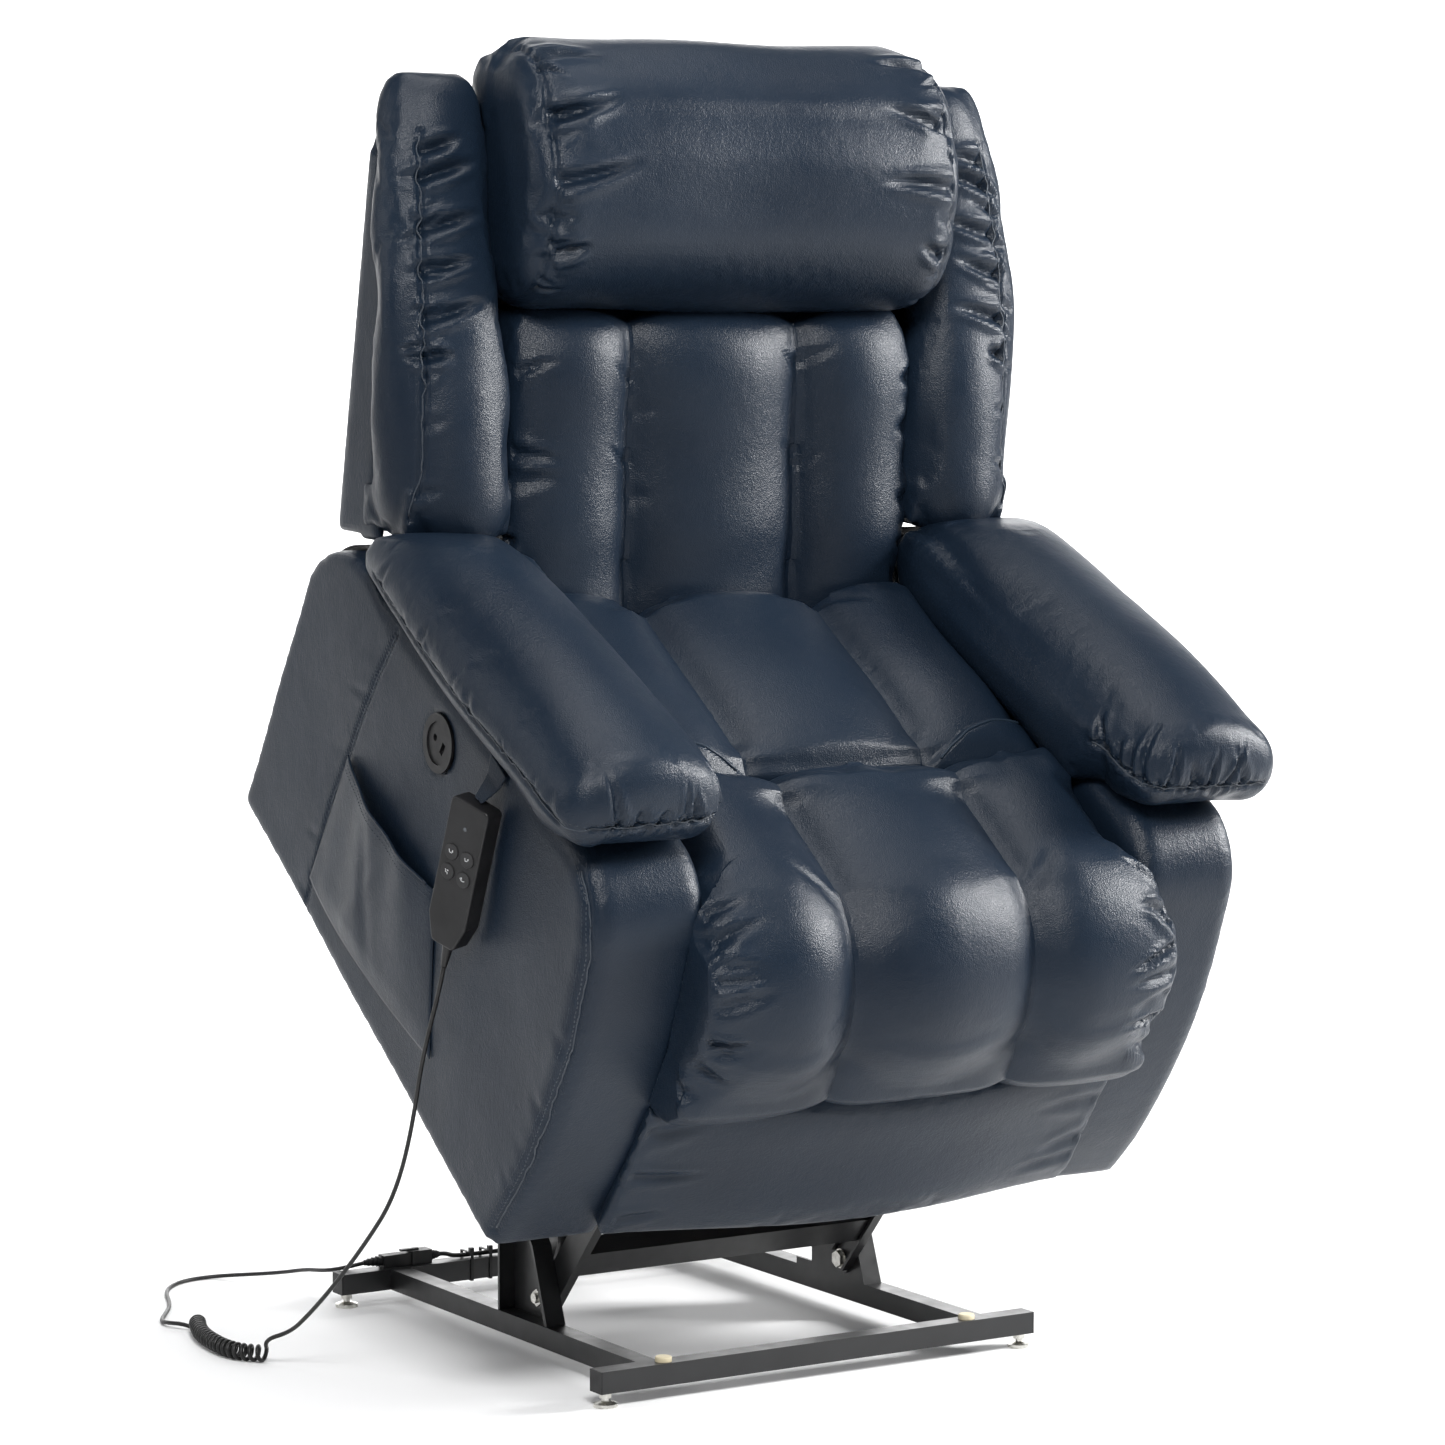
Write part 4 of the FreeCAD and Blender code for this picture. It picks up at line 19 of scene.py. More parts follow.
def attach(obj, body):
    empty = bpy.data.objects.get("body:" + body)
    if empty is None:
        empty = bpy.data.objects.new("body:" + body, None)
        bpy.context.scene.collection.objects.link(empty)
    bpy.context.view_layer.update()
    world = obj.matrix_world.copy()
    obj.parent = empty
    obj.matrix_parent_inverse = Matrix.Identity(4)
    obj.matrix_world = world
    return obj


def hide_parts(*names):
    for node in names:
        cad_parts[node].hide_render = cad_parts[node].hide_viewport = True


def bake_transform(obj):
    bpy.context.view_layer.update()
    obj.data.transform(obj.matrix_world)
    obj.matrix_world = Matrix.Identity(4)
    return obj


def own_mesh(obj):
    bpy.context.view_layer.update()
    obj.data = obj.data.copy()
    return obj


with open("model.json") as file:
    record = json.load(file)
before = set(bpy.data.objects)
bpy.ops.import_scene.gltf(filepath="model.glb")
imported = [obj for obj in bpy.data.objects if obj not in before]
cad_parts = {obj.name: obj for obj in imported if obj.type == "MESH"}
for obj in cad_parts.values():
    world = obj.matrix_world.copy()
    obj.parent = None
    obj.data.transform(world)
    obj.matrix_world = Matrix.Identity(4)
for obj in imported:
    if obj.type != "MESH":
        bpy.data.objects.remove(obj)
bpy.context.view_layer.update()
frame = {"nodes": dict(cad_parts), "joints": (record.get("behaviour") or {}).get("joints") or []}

# %% [markdown]
# ## Three rulers
#
# The seat group stands tilted on its lift arms and the back leans on the seat. Points on the seat are
# easier to name along and above the seat, and points on the back up along the back. Two small functions
# turn such points into the room's x, y and z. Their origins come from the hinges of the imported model.

# %% Rulers for seat and back
joints = {joint["name"]: joint for joint in frame["joints"]}
TILT = math.radians(36.28)
BACK_TILT = TILT - math.radians(30.0)
ARM_PIN = (0.105, 0.022)
KNEE = (0.060, 0.330)
HINGE = (0.640, 0.300)
SIDES = ((-1, "left"), (1, "right"))


def tilted(origin, angle, x, along, up):
    """Points from a tilted ruler: origin plus along and up, turned about x by the angle."""
    x, along, up = np.broadcast_arrays(x, along, up)
    y = origin[0] + along * math.cos(angle) - up * math.sin(angle)
    z = origin[1] + along * math.sin(angle) + up * math.cos(angle)
    return np.stack([np.asarray(x, float), y, z], axis=-1)


lift_pin = joints["seat_tilt"]["pos_m"]
pin_offset = tilted((0.0, 0.0), TILT, 0.0, *ARM_PIN)
SEAT_ORIGIN = (lift_pin[1] - pin_offset[1], lift_pin[2] - pin_offset[2])


def seat(x, along, up):
    """A point of the seat group: x across, along the seat rearward, up from it, all in metres."""
    return tilted(SEAT_ORIGIN, TILT, x, along, up)


def seat_way(x, along, up):
    """A step on the seat, with no starting point."""
    return seat(x, along, up) - seat(0, 0, 0)


hinge_point = seat(0.0, *HINGE)
BACK_ORIGIN = (hinge_point[1], hinge_point[2])


def back(x, depth, up):
    """A point of the back: x across, depth rearward and up along the back from its hinge."""
    return tilted(BACK_ORIGIN, BACK_TILT, x, depth, up)


def back_way(x, depth, up):
    """A step on the back, with no starting point."""
    return back(x, depth, up) - back(0, 0, 0)


print("seat corner", SEAT_ORIGIN, "back hinge", BACK_ORIGIN)

# %% [markdown]
# ## The camera and the studio
#
# A product photograph is taken from some distance with a long lens, so that the chair's edges stay
# nearly parallel. The camera stands ahead of the chair and to its side, a little above the arm pads.

# %% Camera
def placed(name, data):
    """A new object with the given data, in the scene."""
    made = bpy.data.objects.new(name, data)
    bpy.context.scene.collection.objects.link(made)
    return made


camera_data = bpy.data.cameras.new("studio_camera")
camera_data.lens = 114.43
camera_data.sensor_width = 36.0
camera_data.clip_end = 100.0
camera = placed("studio_camera", camera_data)
camera.location = (-2.7886, -4.4496, 1.1988)
camera.rotation_mode = "QUATERNION"
camera.rotation_quaternion = Vector((0.5260, 0.8458, -0.0892)).to_track_quat("-Z", "Y")
bpy.context.scene.camera = camera

# %% Floor and lights
def plain_material(name, colour, roughness):
    material = bpy.data.materials.new(name)
    material.use_nodes = True
    shader = material.node_tree.nodes["Principled BSDF"]
    shader.inputs["Base Color"].default_value = (*colour, 1.0)
    shader.inputs["Roughness"].default_value = roughness
    return material


def studio_floor():
    """A flat sheet that turns up into a wall far behind: height is a quarter circle, then straight."""
    half_width, front, depth, bend, wall = 14.0, -9.0, 15.0, 3.0, 7.0
    flat_until, bend_share, wall_from = 0.6, 0.2, 0.8
    across = np.linspace(-half_width, half_width, 8)
    path = np.linspace(0.0, 1.0, 40)
    turn = np.clip((path - flat_until) / bend_share, 0.0, 1.0) * math.pi / 2
    y = front + depth * np.minimum(path, flat_until) / flat_until + bend * np.sin(turn)
    z = bend * (1.0 - np.cos(turn)) + wall * np.clip(path - wall_from, 0.0, 1.0) / bend_share
    return np.stack(np.broadcast_arrays(across[None, :], y[:, None], z[:, None]), axis=-1)


def grid_quads(rows, columns, wrap_columns=False):
    """Corner numbers of the quads between neighbouring rows and columns of a grid of points."""
    numbers = np.arange(rows * columns).reshape(rows, columns)
    if wrap_columns:
        numbers = np.hstack([numbers, numbers[:, :1]])
    corners = [numbers[:-1, :-1], numbers[1:, :-1], numbers[1:, 1:], numbers[:-1, 1:]]
    return np.stack(corners, axis=-1).reshape(-1, 4)


def new_piece(name, points, faces):
    """An object from arrays of points and faces, its normals turned outwards and its faces smooth."""
    mesh = bpy.data.meshes.new(name)
    mesh.from_pydata(np.asarray(points, float).reshape(-1, 3).tolist(), [], [list(face) for face in faces])
    worked = bmesh.new()
    worked.from_mesh(mesh)
    bmesh.ops.remove_doubles(worked, verts=worked.verts, dist=1e-6)
    bmesh.ops.recalc_face_normals(worked, faces=worked.faces)
    worked.to_mesh(mesh)
    worked.free()
    mesh.shade_smooth()
    return placed(name, mesh)


floor_grid = studio_floor()
floor = new_piece("studio_floor", floor_grid, grid_quads(*floor_grid.shape[:2]).tolist())
if floor.data.polygons[0].normal.z < 0:
    floor.data.flip_normals()
floor.data.materials.append(plain_material("studio_paper", (0.86, 0.86, 0.86), 0.9))


def softbox(name, place, target, wide, tall, watts):
    data = bpy.data.lights.new(name, "AREA")
    data.shape = "RECTANGLE"
    data.size = wide
    data.size_y = tall
    data.energy = watts
    lamp = placed(name, data)
    lamp.location = place
    lamp.rotation_mode = "QUATERNION"
    lamp.rotation_quaternion = (Vector(target) - Vector(place)).to_track_quat("-Z", "Y")


softbox("key_light", (-1.6, -3.0, 3.3), (0.0, 0.0, 0.8), 1.5, 1.0, 170)
softbox("top_light", (0.1, -0.3, 4.2), (0.0, 0.0, 0.6), 2.0, 1.2, 62)
softbox("right_light", (3.6, -1.4, 2.2), (0.0, 0.0, 0.7), 0.8, 1.8, 330)
softbox("left_strip", (-3.4, 0.9, 2.3), (0.0, 0.0, 0.9), 0.7, 1.8, 30)
softbox("backdrop_light", (6.2, 4.5, 5.5), (6.2, 9.0, 2.2), 7.0, 2.0, 1000)
softbox("floor_light", (2.2, 3.2, 3.0), (2.2, 5.0, 0.0), 5.0, 1.5, 190)
world = bpy.data.worlds.new("studio_world")
world.use_nodes = True
world.node_tree.nodes["Background"].inputs["Color"].default_value = (0.93, 0.95, 1.0, 1.0)
world.node_tree.nodes["Background"].inputs["Strength"].default_value = 0.14
bpy.context.scene.world = world
bpy.context.scene.view_settings.view_transform = "Standard"

# %% [markdown]
# ## A box of finishes
#
# Each finish is a small node tree, and one small class keeps the trees short: it adds a node and links its
# inputs, makes patterns, and stacks bumps. All patterns read Object coordinates, which are the room's
# metres here, so grain has its real size on every piece.

# %% Node helpers
class Finish:
    """A material and the few calls that build its nodes. Pattern scales are counts per metre."""

    def __init__(self, name, **sockets):
        self.material = bpy.data.materials.new(name)
        self.material.use_nodes = True
        self.tree = self.material.node_tree
        self.shader = self.tree.nodes["Principled BSDF"]
        for socket, value in sockets.items():
            self.shader.inputs[socket.replace("_", " ")].default_value = value
        self.place = self.tree.nodes.new("ShaderNodeTexCoord").outputs["Object"]

    def node(self, kind, **inputs):
        """A node whose inputs are linked to sockets or set to plain values."""
        made = self.tree.nodes.new("ShaderNode" + kind)
        for key, value in inputs.items():
            if isinstance(value, bpy.types.NodeSocket):
                self.tree.links.new(value, made.inputs[key])
            else:
                made.inputs[key].default_value = value
        return made

    def noise(self, scale, detail=3.0, roughness=0.5, stretch=None):
        where = self.place
        if stretch:
            where = self.node("Mapping", Vector=where, Scale=stretch).outputs["Vector"]
        made = self.node("TexNoise", Vector=where, Scale=scale, Detail=detail, Roughness=roughness)
        return made.outputs["Fac"]

    def cells(self, scale):
        return self.node("TexVoronoi", Vector=self.place, Scale=scale).outputs["Distance"]

    def blend(self, factor, first, second, low=0.35, high=0.65):
        ramp = self.node("ValToRGB", Fac=factor)
        for stop, position, colour in zip(ramp.color_ramp.elements, (low, high), (first, second)):
            stop.position = position
            stop.color = (*colour, 1.0)
        return ramp.outputs["Color"]

    def spread(self, value, low, high, start=0.3, end=0.7):
        inputs = {"Value": value, "From Min": start, "From Max": end, "To Min": low, "To Max": high}
        return self.node("MapRange", **inputs).outputs["Result"]

    def bumps(self, *layers):
        """Stacks bump layers given as (height, strength, distance in metres) and feeds the shader."""
        normal = None
        for height, strength, distance in layers:
            inputs = {"Height": height, "Strength": strength, "Distance": distance}
            if normal is not None:
                inputs["Normal"] = normal
            normal = self.node("Bump", **inputs).outputs["Normal"]
        self.tree.links.new(normal, self.shader.inputs["Normal"])

    def colour(self, socket):
        self.tree.links.new(socket, self.shader.inputs["Base Color"])

    def rough(self, socket):
        self.tree.links.new(socket, self.shader.inputs["Roughness"])


# %% [markdown]
# ## Leather
#
# The cover is a coated leather: a dark slate blue with a fine pebble grain and soft wide highlights.
# The piping gets a lighter, slightly duller copy of it; its lighter colour is a painted highlight. Cells
# about a millimetre wide make the pebbles, a finer noise breaks them up, and a slow noise varies the
# colour a little over a hand's width.

# %% Leather finish
def leather(name, dark, light, low_gloss=0.29, high_gloss=0.37):
    finish = Finish(name, Specular_IOR_Level=0.22)
    finish.colour(finish.blend(finish.noise(5.0, 4.0), dark, light, 0.3, 0.7))
    finish.rough(finish.spread(finish.noise(22.0, 5.0, 0.6), low_gloss, high_gloss))
    finish.bumps(
        (finish.noise(34.0, 3.0), 0.16, 0.004),
        (finish.noise(240.0, 3.0), 0.20, 0.0014),
        (finish.cells(760.0), 0.40, 0.0007),
        (finish.noise(2400.0, 2.0), 0.12, 0.0002),
    )
    return finish.material


slate_leather = leather("slate_leather", (0.0052, 0.0106, 0.0202), (0.0075, 0.0144, 0.0258))
# The piping's leather is the slate leather painted lighter, a painted highlight on the raised piping, and a
# little duller.
piping_painted_highlight_leather = leather("piping_painted_highlight_leather", (0.0120, 0.0205, 0.0330), (0.0160, 0.0265, 0.0410), 0.36, 0.46)
print("leather finishes", slate_leather.name, piping_painted_highlight_leather.name)

# %% Thread, metals, plastics and wood
def thread_finish():
    finish = Finish("navy_thread", Sheen_Weight=0.2)
    finish.colour(finish.blend(finish.noise(900.0), (0.010, 0.017, 0.028), (0.022, 0.034, 0.050)))
    finish.rough(finish.spread(finish.noise(1500.0), 0.55, 0.75))
    finish.bumps((finish.noise(2400.0), 0.3, 0.0002))
    return finish.material


def black_steel():
    finish = Finish("satin_black_steel")
    finish.colour(finish.blend(finish.noise(12.0, 4.0), (0.0075, 0.0078, 0.0085), (0.013, 0.0135, 0.0145)))
    finish.rough(finish.spread(finish.noise(45.0, 5.0), 0.30, 0.42))
    finish.bumps((finish.noise(420.0, 2.0), 0.08, 0.0004), (finish.noise(1600.0), 0.05, 0.0002))
    return finish.material


def bright_metal(name, dark, light, low, high):
    finish = Finish(name, Metallic=1.0)
    finish.colour(finish.blend(finish.noise(160.0, 4.0), dark, light))
    finish.rough(finish.spread(finish.noise(90.0, 5.0), low, high))
    finish.bumps((finish.noise(900.0), 0.06, 0.0002))
    return finish.material


def moulded(name, dark, light, low, high, grain=1500.0):
    finish = Finish(name, Specular_IOR_Level=0.35)
    finish.colour(finish.blend(finish.noise(25.0, 3.0), dark, light))
    finish.rough(finish.spread(finish.noise(70.0, 4.0), low, high))
    finish.bumps((finish.cells(grain), 0.12, 0.0002), (finish.noise(240.0), 0.05, 0.0004))
    return finish.material


def birch_ply():
    finish = Finish("birch_ply")
    grain = finish.noise(26.0, 6.0, 0.6, stretch=(1.0, 9.0, 9.0))
    finish.colour(finish.blend(grain, (0.36, 0.22, 0.105), (0.58, 0.40, 0.22), 0.35, 0.7))
    finish.rough(finish.spread(grain, 0.55, 0.75))
    finish.bumps((grain, 0.2, 0.0006))
    return finish.material


def black_cloth():
    finish = Finish("black_lining", Sheen_Weight=0.3)
    finish.colour(finish.blend(finish.noise(40.0), (0.006, 0.006, 0.007), (0.012, 0.012, 0.014)))
    finish.rough(finish.spread(finish.noise(60.0), 0.8, 0.95))
    finish.bumps((finish.cells(1400.0), 0.4, 0.0005), (finish.noise(50.0, 4.0), 0.25, 0.004))
    return finish.material


finishes = {
    "thread": thread_finish(),
    "black_steel": black_steel(),
    "zinc": bright_metal("zinc_plate", (0.52, 0.51, 0.47), (0.72, 0.71, 0.67), 0.24, 0.38),
    "rod_steel": bright_metal("polished_rod", (0.55, 0.56, 0.57), (0.75, 0.76, 0.77), 0.12, 0.2),
    "spring_steel": bright_metal("spring_wire", (0.22, 0.22, 0.22), (0.34, 0.33, 0.32), 0.3, 0.5),
    "black_plastic": moulded("black_plastic", (0.006, 0.006, 0.0065), (0.011, 0.011, 0.012), 0.36, 0.5),
    "soft_black": moulded("soft_black_key", (0.014, 0.014, 0.015), (0.022, 0.022, 0.023), 0.5, 0.62),
    "motor_plastic": moulded("motor_housing", (0.010, 0.010, 0.011), (0.018, 0.018, 0.019), 0.4, 0.55, 900.0),
    "rubber_cord": moulded("rubber_cord", (0.006, 0.006, 0.006), (0.012, 0.012, 0.012), 0.34, 0.46, 2200.0),
    "cream_rubber": moulded("cream_bumper", (0.56, 0.49, 0.33), (0.66, 0.59, 0.42), 0.5, 0.6),
    "board": moulded("circuit_board", (0.010, 0.06, 0.025), (0.015, 0.08, 0.035), 0.4, 0.5),
    "lens": moulded("lens", (0.05, 0.06, 0.07), (0.08, 0.09, 0.10), 0.15, 0.25),
    "wood": birch_ply(),
    "lining": black_cloth(),
}
print(len(finishes), "more finishes")

# %% [markdown]
# ## Finishes for the CAD nodes
#
# The steelwork, the motors, the handset and the small fittings keep their CAD shapes. Each only needs
# the right finish in its material slots.

# %% Paint the CAD nodes
node_finish = {
    "black_steel": "base_front_tube base_rear_tube base_side_rails pivot_brackets motor_bracket lift_arms "
    "lift_cross_beam upper_links mechanism_plates mechanism_posts mechanism_cross_tubes footrest_arms "
    "back_hinge_plates back_lever",
    "zinc": "levelling_feet base_pivot_bolts frame_pivot_pins",
    "rod_steel": "lift_motor_rod recline_motor_rod",
    "spring_steel": "seat_springs",
    "motor_plastic": "lift_motor recline_motor",
    "black_plastic": "tube_end_caps cord_connector connector_boots cable_ties handset_front handset_rear "
    "handset_boot power_outlet",
    "soft_black": "button_lift button_lower button_recline button_return",
    "cream_rubber": "floor_bumpers",
    "board": "handset_board",
    "lens": "indicator_lens",
    "wood": "seat_rails back_frame",
    "lining": "back_lining",
}


def finish_of(piece, material):
    """Gives the whole piece one material."""
    if not piece.material_slots:
        piece.data.materials.append(material)
    for slot in piece.material_slots:
        slot.material = material


for finish_name, names in node_finish.items():
    for node_name in names.split():
        finish_of(frame["nodes"][node_name], finishes[finish_name])

# %% [markdown]
# ## Cords
#
# A cord is a tube along one smooth line. The line is a NURBS curve through a few listed points.
# Blender works the curve out, its points are read back as an array, and a ring is carried along them.
# The curly stretch is a helix round such a line, and its turns become more points of the cord's own curve.

# %% Tubes along smooth lines
def rows_of(items, attribute):
    """Three numbers of every item of a mesh, as rows."""
    found = np.empty(len(items) * 3)
    items.foreach_get(attribute, found)
    return found.reshape(-1, 3)


def smooth_line(points, resolution=8):
    """The points of a NURBS curve that has the given control points, in metres."""
    curve = bpy.data.curves.new("line", "CURVE")
    curve.dimensions = "3D"
    curve.resolution_u = resolution
    spline = curve.splines.new("NURBS")
    spline.points.add(len(points) - 1)
    padded_points = np.column_stack([np.asarray(points, float), np.ones(len(points))])
    spline.points.foreach_set("co", padded_points.ravel())
    spline.order_u = 3
    spline.use_endpoint_u = True
    holder = placed("line", curve)
    bpy.context.view_layer.update()
    mesh = bpy.data.meshes.new_from_object(holder)
    found = rows_of(mesh.vertices, "co")
    bpy.data.objects.remove(holder)
    bpy.data.meshes.remove(mesh)
    bpy.data.curves.remove(curve)
    return found


def unit(vectors):
    return vectors / np.maximum(np.linalg.norm(vectors, axis=-1, keepdims=True), 1e-12)


def carried_frames(path):
    """A forward, side and up direction at each point of a path; side stays as level as it can."""
    forward = unit(np.gradient(path, axis=0))
    level = np.cross(np.array([0.0, 0.0, 1.0]), forward)
    weak = np.linalg.norm(level, axis=1) < 0.05
    level[weak] = np.cross(np.array([1.0, 0.0, 0.0]), forward[weak])
    side = unit(level)
    return forward, side, np.cross(forward, side)


def tube(name, path, radius, sides=12):
    """A tube: at each point of the path, a circle of the radius in the side and up directions."""
    forward, side, up = carried_frames(path)
    radius = np.broadcast_to(radius, len(path))[:, None, None]
    angle = np.linspace(0.0, 2 * math.pi, sides, endpoint=False)[None, :, None]
    ring = path[:, None] + radius * (np.cos(angle) * side[:, None] + np.sin(angle) * up[:, None])
    faces = grid_quads(len(path), sides, wrap_columns=True).tolist()
    faces += [list(range(sides)), list(range((len(path) - 1) * sides, len(path) * sides))]
    return new_piece(name, ring, faces)


def along(path):
    """The length of a path."""
    return float(np.linalg.norm(np.diff(path, axis=0), axis=1).sum())


def travelled_at(line):
    """How far along a line of points each of them is."""
    return np.concatenate([[0.0], np.cumsum(np.linalg.norm(np.diff(line, axis=0), axis=1))])


def between(rows, known, wanted):
    """Rows of x, y and z at the wanted distances, worked out between those at the known ones."""
    return np.stack([np.interp(wanted, known, rows[:, column]) for column in range(3)], axis=-1)


# %% Routes of the cords
FRONT = -0.1823
CORD = 0.005
LEAD = 0.0055
POINTS_PER_TURN = 16


def route(*points):
    """Route points in millimetres, counted from the base's front face, as metres in the room."""
    return np.array(points) / 1000.0 + np.array([0.0, FRONT, 0.0])


drop_route = route(
    (-446.0, 69.4, 494.35), (-446.2, 83.0, 460.0), (-447.5, 101.0, 421.0), (-450.0, 117.0, 375.0),
    (-453.5, 128.5, 317.0), (-457.6, 146.0, 261.0), (-462.2, 170.0, 216.0), (-467.4, 204.0, 178.0),
    (-472.9, 246.0, 137.0), (-478.9, 288.0, 98.5), (-485.0, 328.0, 65.0), (-491.8, 357.0, 42.5),
    (-511.8, 383.4, 30.9), (-499.6, 402.4, 17.85),
)
curl_route = route(
    (-502.0, 400.0, 10.6), (-516.0, 414.0, 10.6), (-525.5, 434.0, 10.6), (-528.0, 460.0, 10.6),
    (-526.0, 490.0, 10.6), (-521.0, 526.0, 10.6), (-509.0, 564.0, 10.6), (-497.0, 591.0, 10.6),
)
tail_route = route(
    (-512.4, 601.1, 8.57), (-521.0, 626.0, 6.0), (-515.0, 654.0, 2.6), (-497.0, 682.0, 2.6),
    (-477.0, 712.0, 2.6), (-460.0, 748.0, 2.6), (-447.0, 785.0, 2.6), (-430.0, 816.0, 2.6),
    (-403.0, 841.0, 2.6), (-371.0, 850.0, 2.6), (-342.0, 838.0, 4.5), (-318.0, 802.0, 10.0),
    (-302.0, 755.0, 19.0), (-295.0, 705.0, 31.0), (-297.0, 660.0, 37.5), (-288.5, 629.5, 44.0),
    (-262.0, 618.5, 50.3),
)
lead_route = route(
    (-158.9, 618.5, 50.4), (-150.0, 618.6, 50.4), (-140.0, 618.4, 46.2), (-118.0, 618.6, 45.2),
    (-92.0, 618.2, 45.3), (-68.0, 612.0, 47.0), (-52.0, 596.0, 60.0), (-50.0, 577.0, 79.0),
    (-43.0, 556.0, 95.5), (-28.6, 550.5, 98.6),
)


def curly(route_points, turns, radius, first, last):
    """A helix: centre on the route's smooth line, radius times (cos, sin) of an angle that grows evenly."""
    axis = smooth_line(route_points, 24)
    travelled = travelled_at(axis)
    count = int(POINTS_PER_TURN * (turns + (last - first) / 360.0))
    share = np.linspace(0.0, travelled[-1], count + 1)
    centre = between(axis, travelled, share)
    forward, side, up = carried_frames(centre)
    angle = np.radians(first + (360.0 * turns + last - first) * share / travelled[-1])[:, None]
    return centre + radius * (np.cos(angle) * side + np.sin(angle) * up)


helix = curly(curl_route, 21.0, 0.008, 115.0, 295.0)
drop_line = smooth_line(np.vstack([drop_route[:-1], helix[:1]]))
floor_line = smooth_line(np.vstack([helix, tail_route]), 3)
lead_line = smooth_line(lead_route)
print("drop", along(drop_line), "curl and tail", along(floor_line), "lead", along(lead_line))

# %% Cord pieces
cord_drop = tube("handset_cord_drop", drop_line, CORD / 2)
cord_floor = tube("handset_cord_floor", floor_line, CORD / 2, sides=10)
motor_lead = tube("motor_lead_sleeve", lead_line, LEAD / 2)
for piece in (cord_drop, cord_floor, motor_lead):
    finish_of(piece, finishes["rubber_cord"])
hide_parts("cord_drop")
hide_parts("cord_curl", "cord_tail")
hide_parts("motor_lead")
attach(cord_drop, "base")
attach(cord_floor, "base")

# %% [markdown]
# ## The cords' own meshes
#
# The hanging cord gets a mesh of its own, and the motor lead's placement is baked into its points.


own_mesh(cord_drop)
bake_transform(motor_lead)

# %% [markdown]
# ## How the padding is made
#
# Each cushion starts as a copy of its CAD solid. The copy is remeshed into even quads, because loose
# triangles neither bend nor wrinkle well. Cloth simulation then blows it up a little like a filled case,
# with the amount capped, and a subdivision rounds it. Seams and gathers come last, as small moves of the
# points: a remesh would have swallowed them.

# %% Padding helpers
FILLING_FRAMES = 12
LEATHER_CLOTH = {
    "quality": 4, "mass": 0.25, "tension_stiffness": 12, "compression_stiffness": 12,
    "shear_stiffness": 4, "bending_stiffness": 0.6, "shrink_min": -0.02,
}


def points_of(piece):
    return rows_of(piece.data.vertices, "co")


def put_points(piece, points):
    piece.data.vertices.foreach_set("co", np.asarray(points, float).ravel())
    piece.data.update()


def applied(piece, kind, **settings):
    """Adds a modifier, reads the result and keeps it as the piece's mesh."""
    modifier = piece.modifiers.new("step", kind)
    for key, value in settings.items():
        setattr(modifier, key, value)
    bpy.context.view_layer.update()
    evaluated = piece.evaluated_get(bpy.context.evaluated_depsgraph_get())
    mesh = bpy.data.meshes.new_from_object(evaluated)
    piece.modifiers.clear()
    piece.data = mesh
    return piece


def case_of(name, node_names, voxel, extra=()):
    """One closed case round the named CAD solids and extra forms, in even quads of the voxel's size."""
    worked = bmesh.new()
    for node_name in node_names:
        worked.from_mesh(frame["nodes"][node_name].data)
    for points, faces in extra:
        form = bpy.data.meshes.new("form")
        form.from_pydata(points.tolist(), [], faces)
        worked.from_mesh(form)
    bmesh.ops.remove_doubles(worked, verts=worked.verts, dist=2e-5)
    bmesh.ops.recalc_face_normals(worked, faces=worked.faces)
    mesh = bpy.data.meshes.new(name)
    worked.to_mesh(mesh)
    worked.free()
    return applied(placed(name, mesh), "REMESH", mode="VOXEL", voxel_size=voxel, adaptivity=0.0)


def blown_up(piece, pressure, cap):
    """Cloth with air pressure inside; no point moves further than the cap."""
    before = points_of(piece)
    cloth = piece.modifiers.new("filling", "CLOTH")
    for key, value in LEATHER_CLOTH.items():
        setattr(cloth.settings, key, value)
    cloth.settings.use_pressure = True
    cloth.settings.uniform_pressure_force = pressure
    cloth.settings.effector_weights.gravity = 0.0
    cloth.collision_settings.use_collision = False
    scene = bpy.context.scene
    for number in range(1, FILLING_FRAMES + 1):
        scene.frame_set(number)
    evaluated = piece.evaluated_get(bpy.context.evaluated_depsgraph_get())
    move = points_of(evaluated) - before
    piece.modifiers.clear()
    scene.frame_set(1)
    size = np.linalg.norm(move, axis=1, keepdims=True)
    move *= np.minimum(1.0, cap / np.maximum(size, 1e-9))
    put_points(piece, before + move)
    print(piece.name, "filled, points moved up to", round(float(np.minimum(size, cap).max()) * 1000, 1), "mm")


def from_line(points, line):
    """Distance of each point from the nearest segment of a line."""
    nearest = np.full(len(points), np.inf)
    for start, end in zip(line, line[1:]):
        run = end - start
        share = np.clip((points - start) @ run / run.dot(run), 0.0, 1.0)
        nearest = np.minimum(nearest, np.linalg.norm(points - (start + share[:, None] * run), axis=1))
    return nearest


def bell(distance, width):
    """One at no distance, and falling off on both sides as a bell curve."""
    return np.exp(-((distance / width) ** 2))


def seam_dip(points, line, width, depth):
    """A sewn seam: the case dips by the depth on the line and comes back as a bell curve of the width."""
    return -depth * bell(from_line(points, line), width)


def smooth_step(value, start, end):
    share = np.clip((value - start) / (end - start), 0.0, 1.0)
    return share * share * (3 - 2 * share)


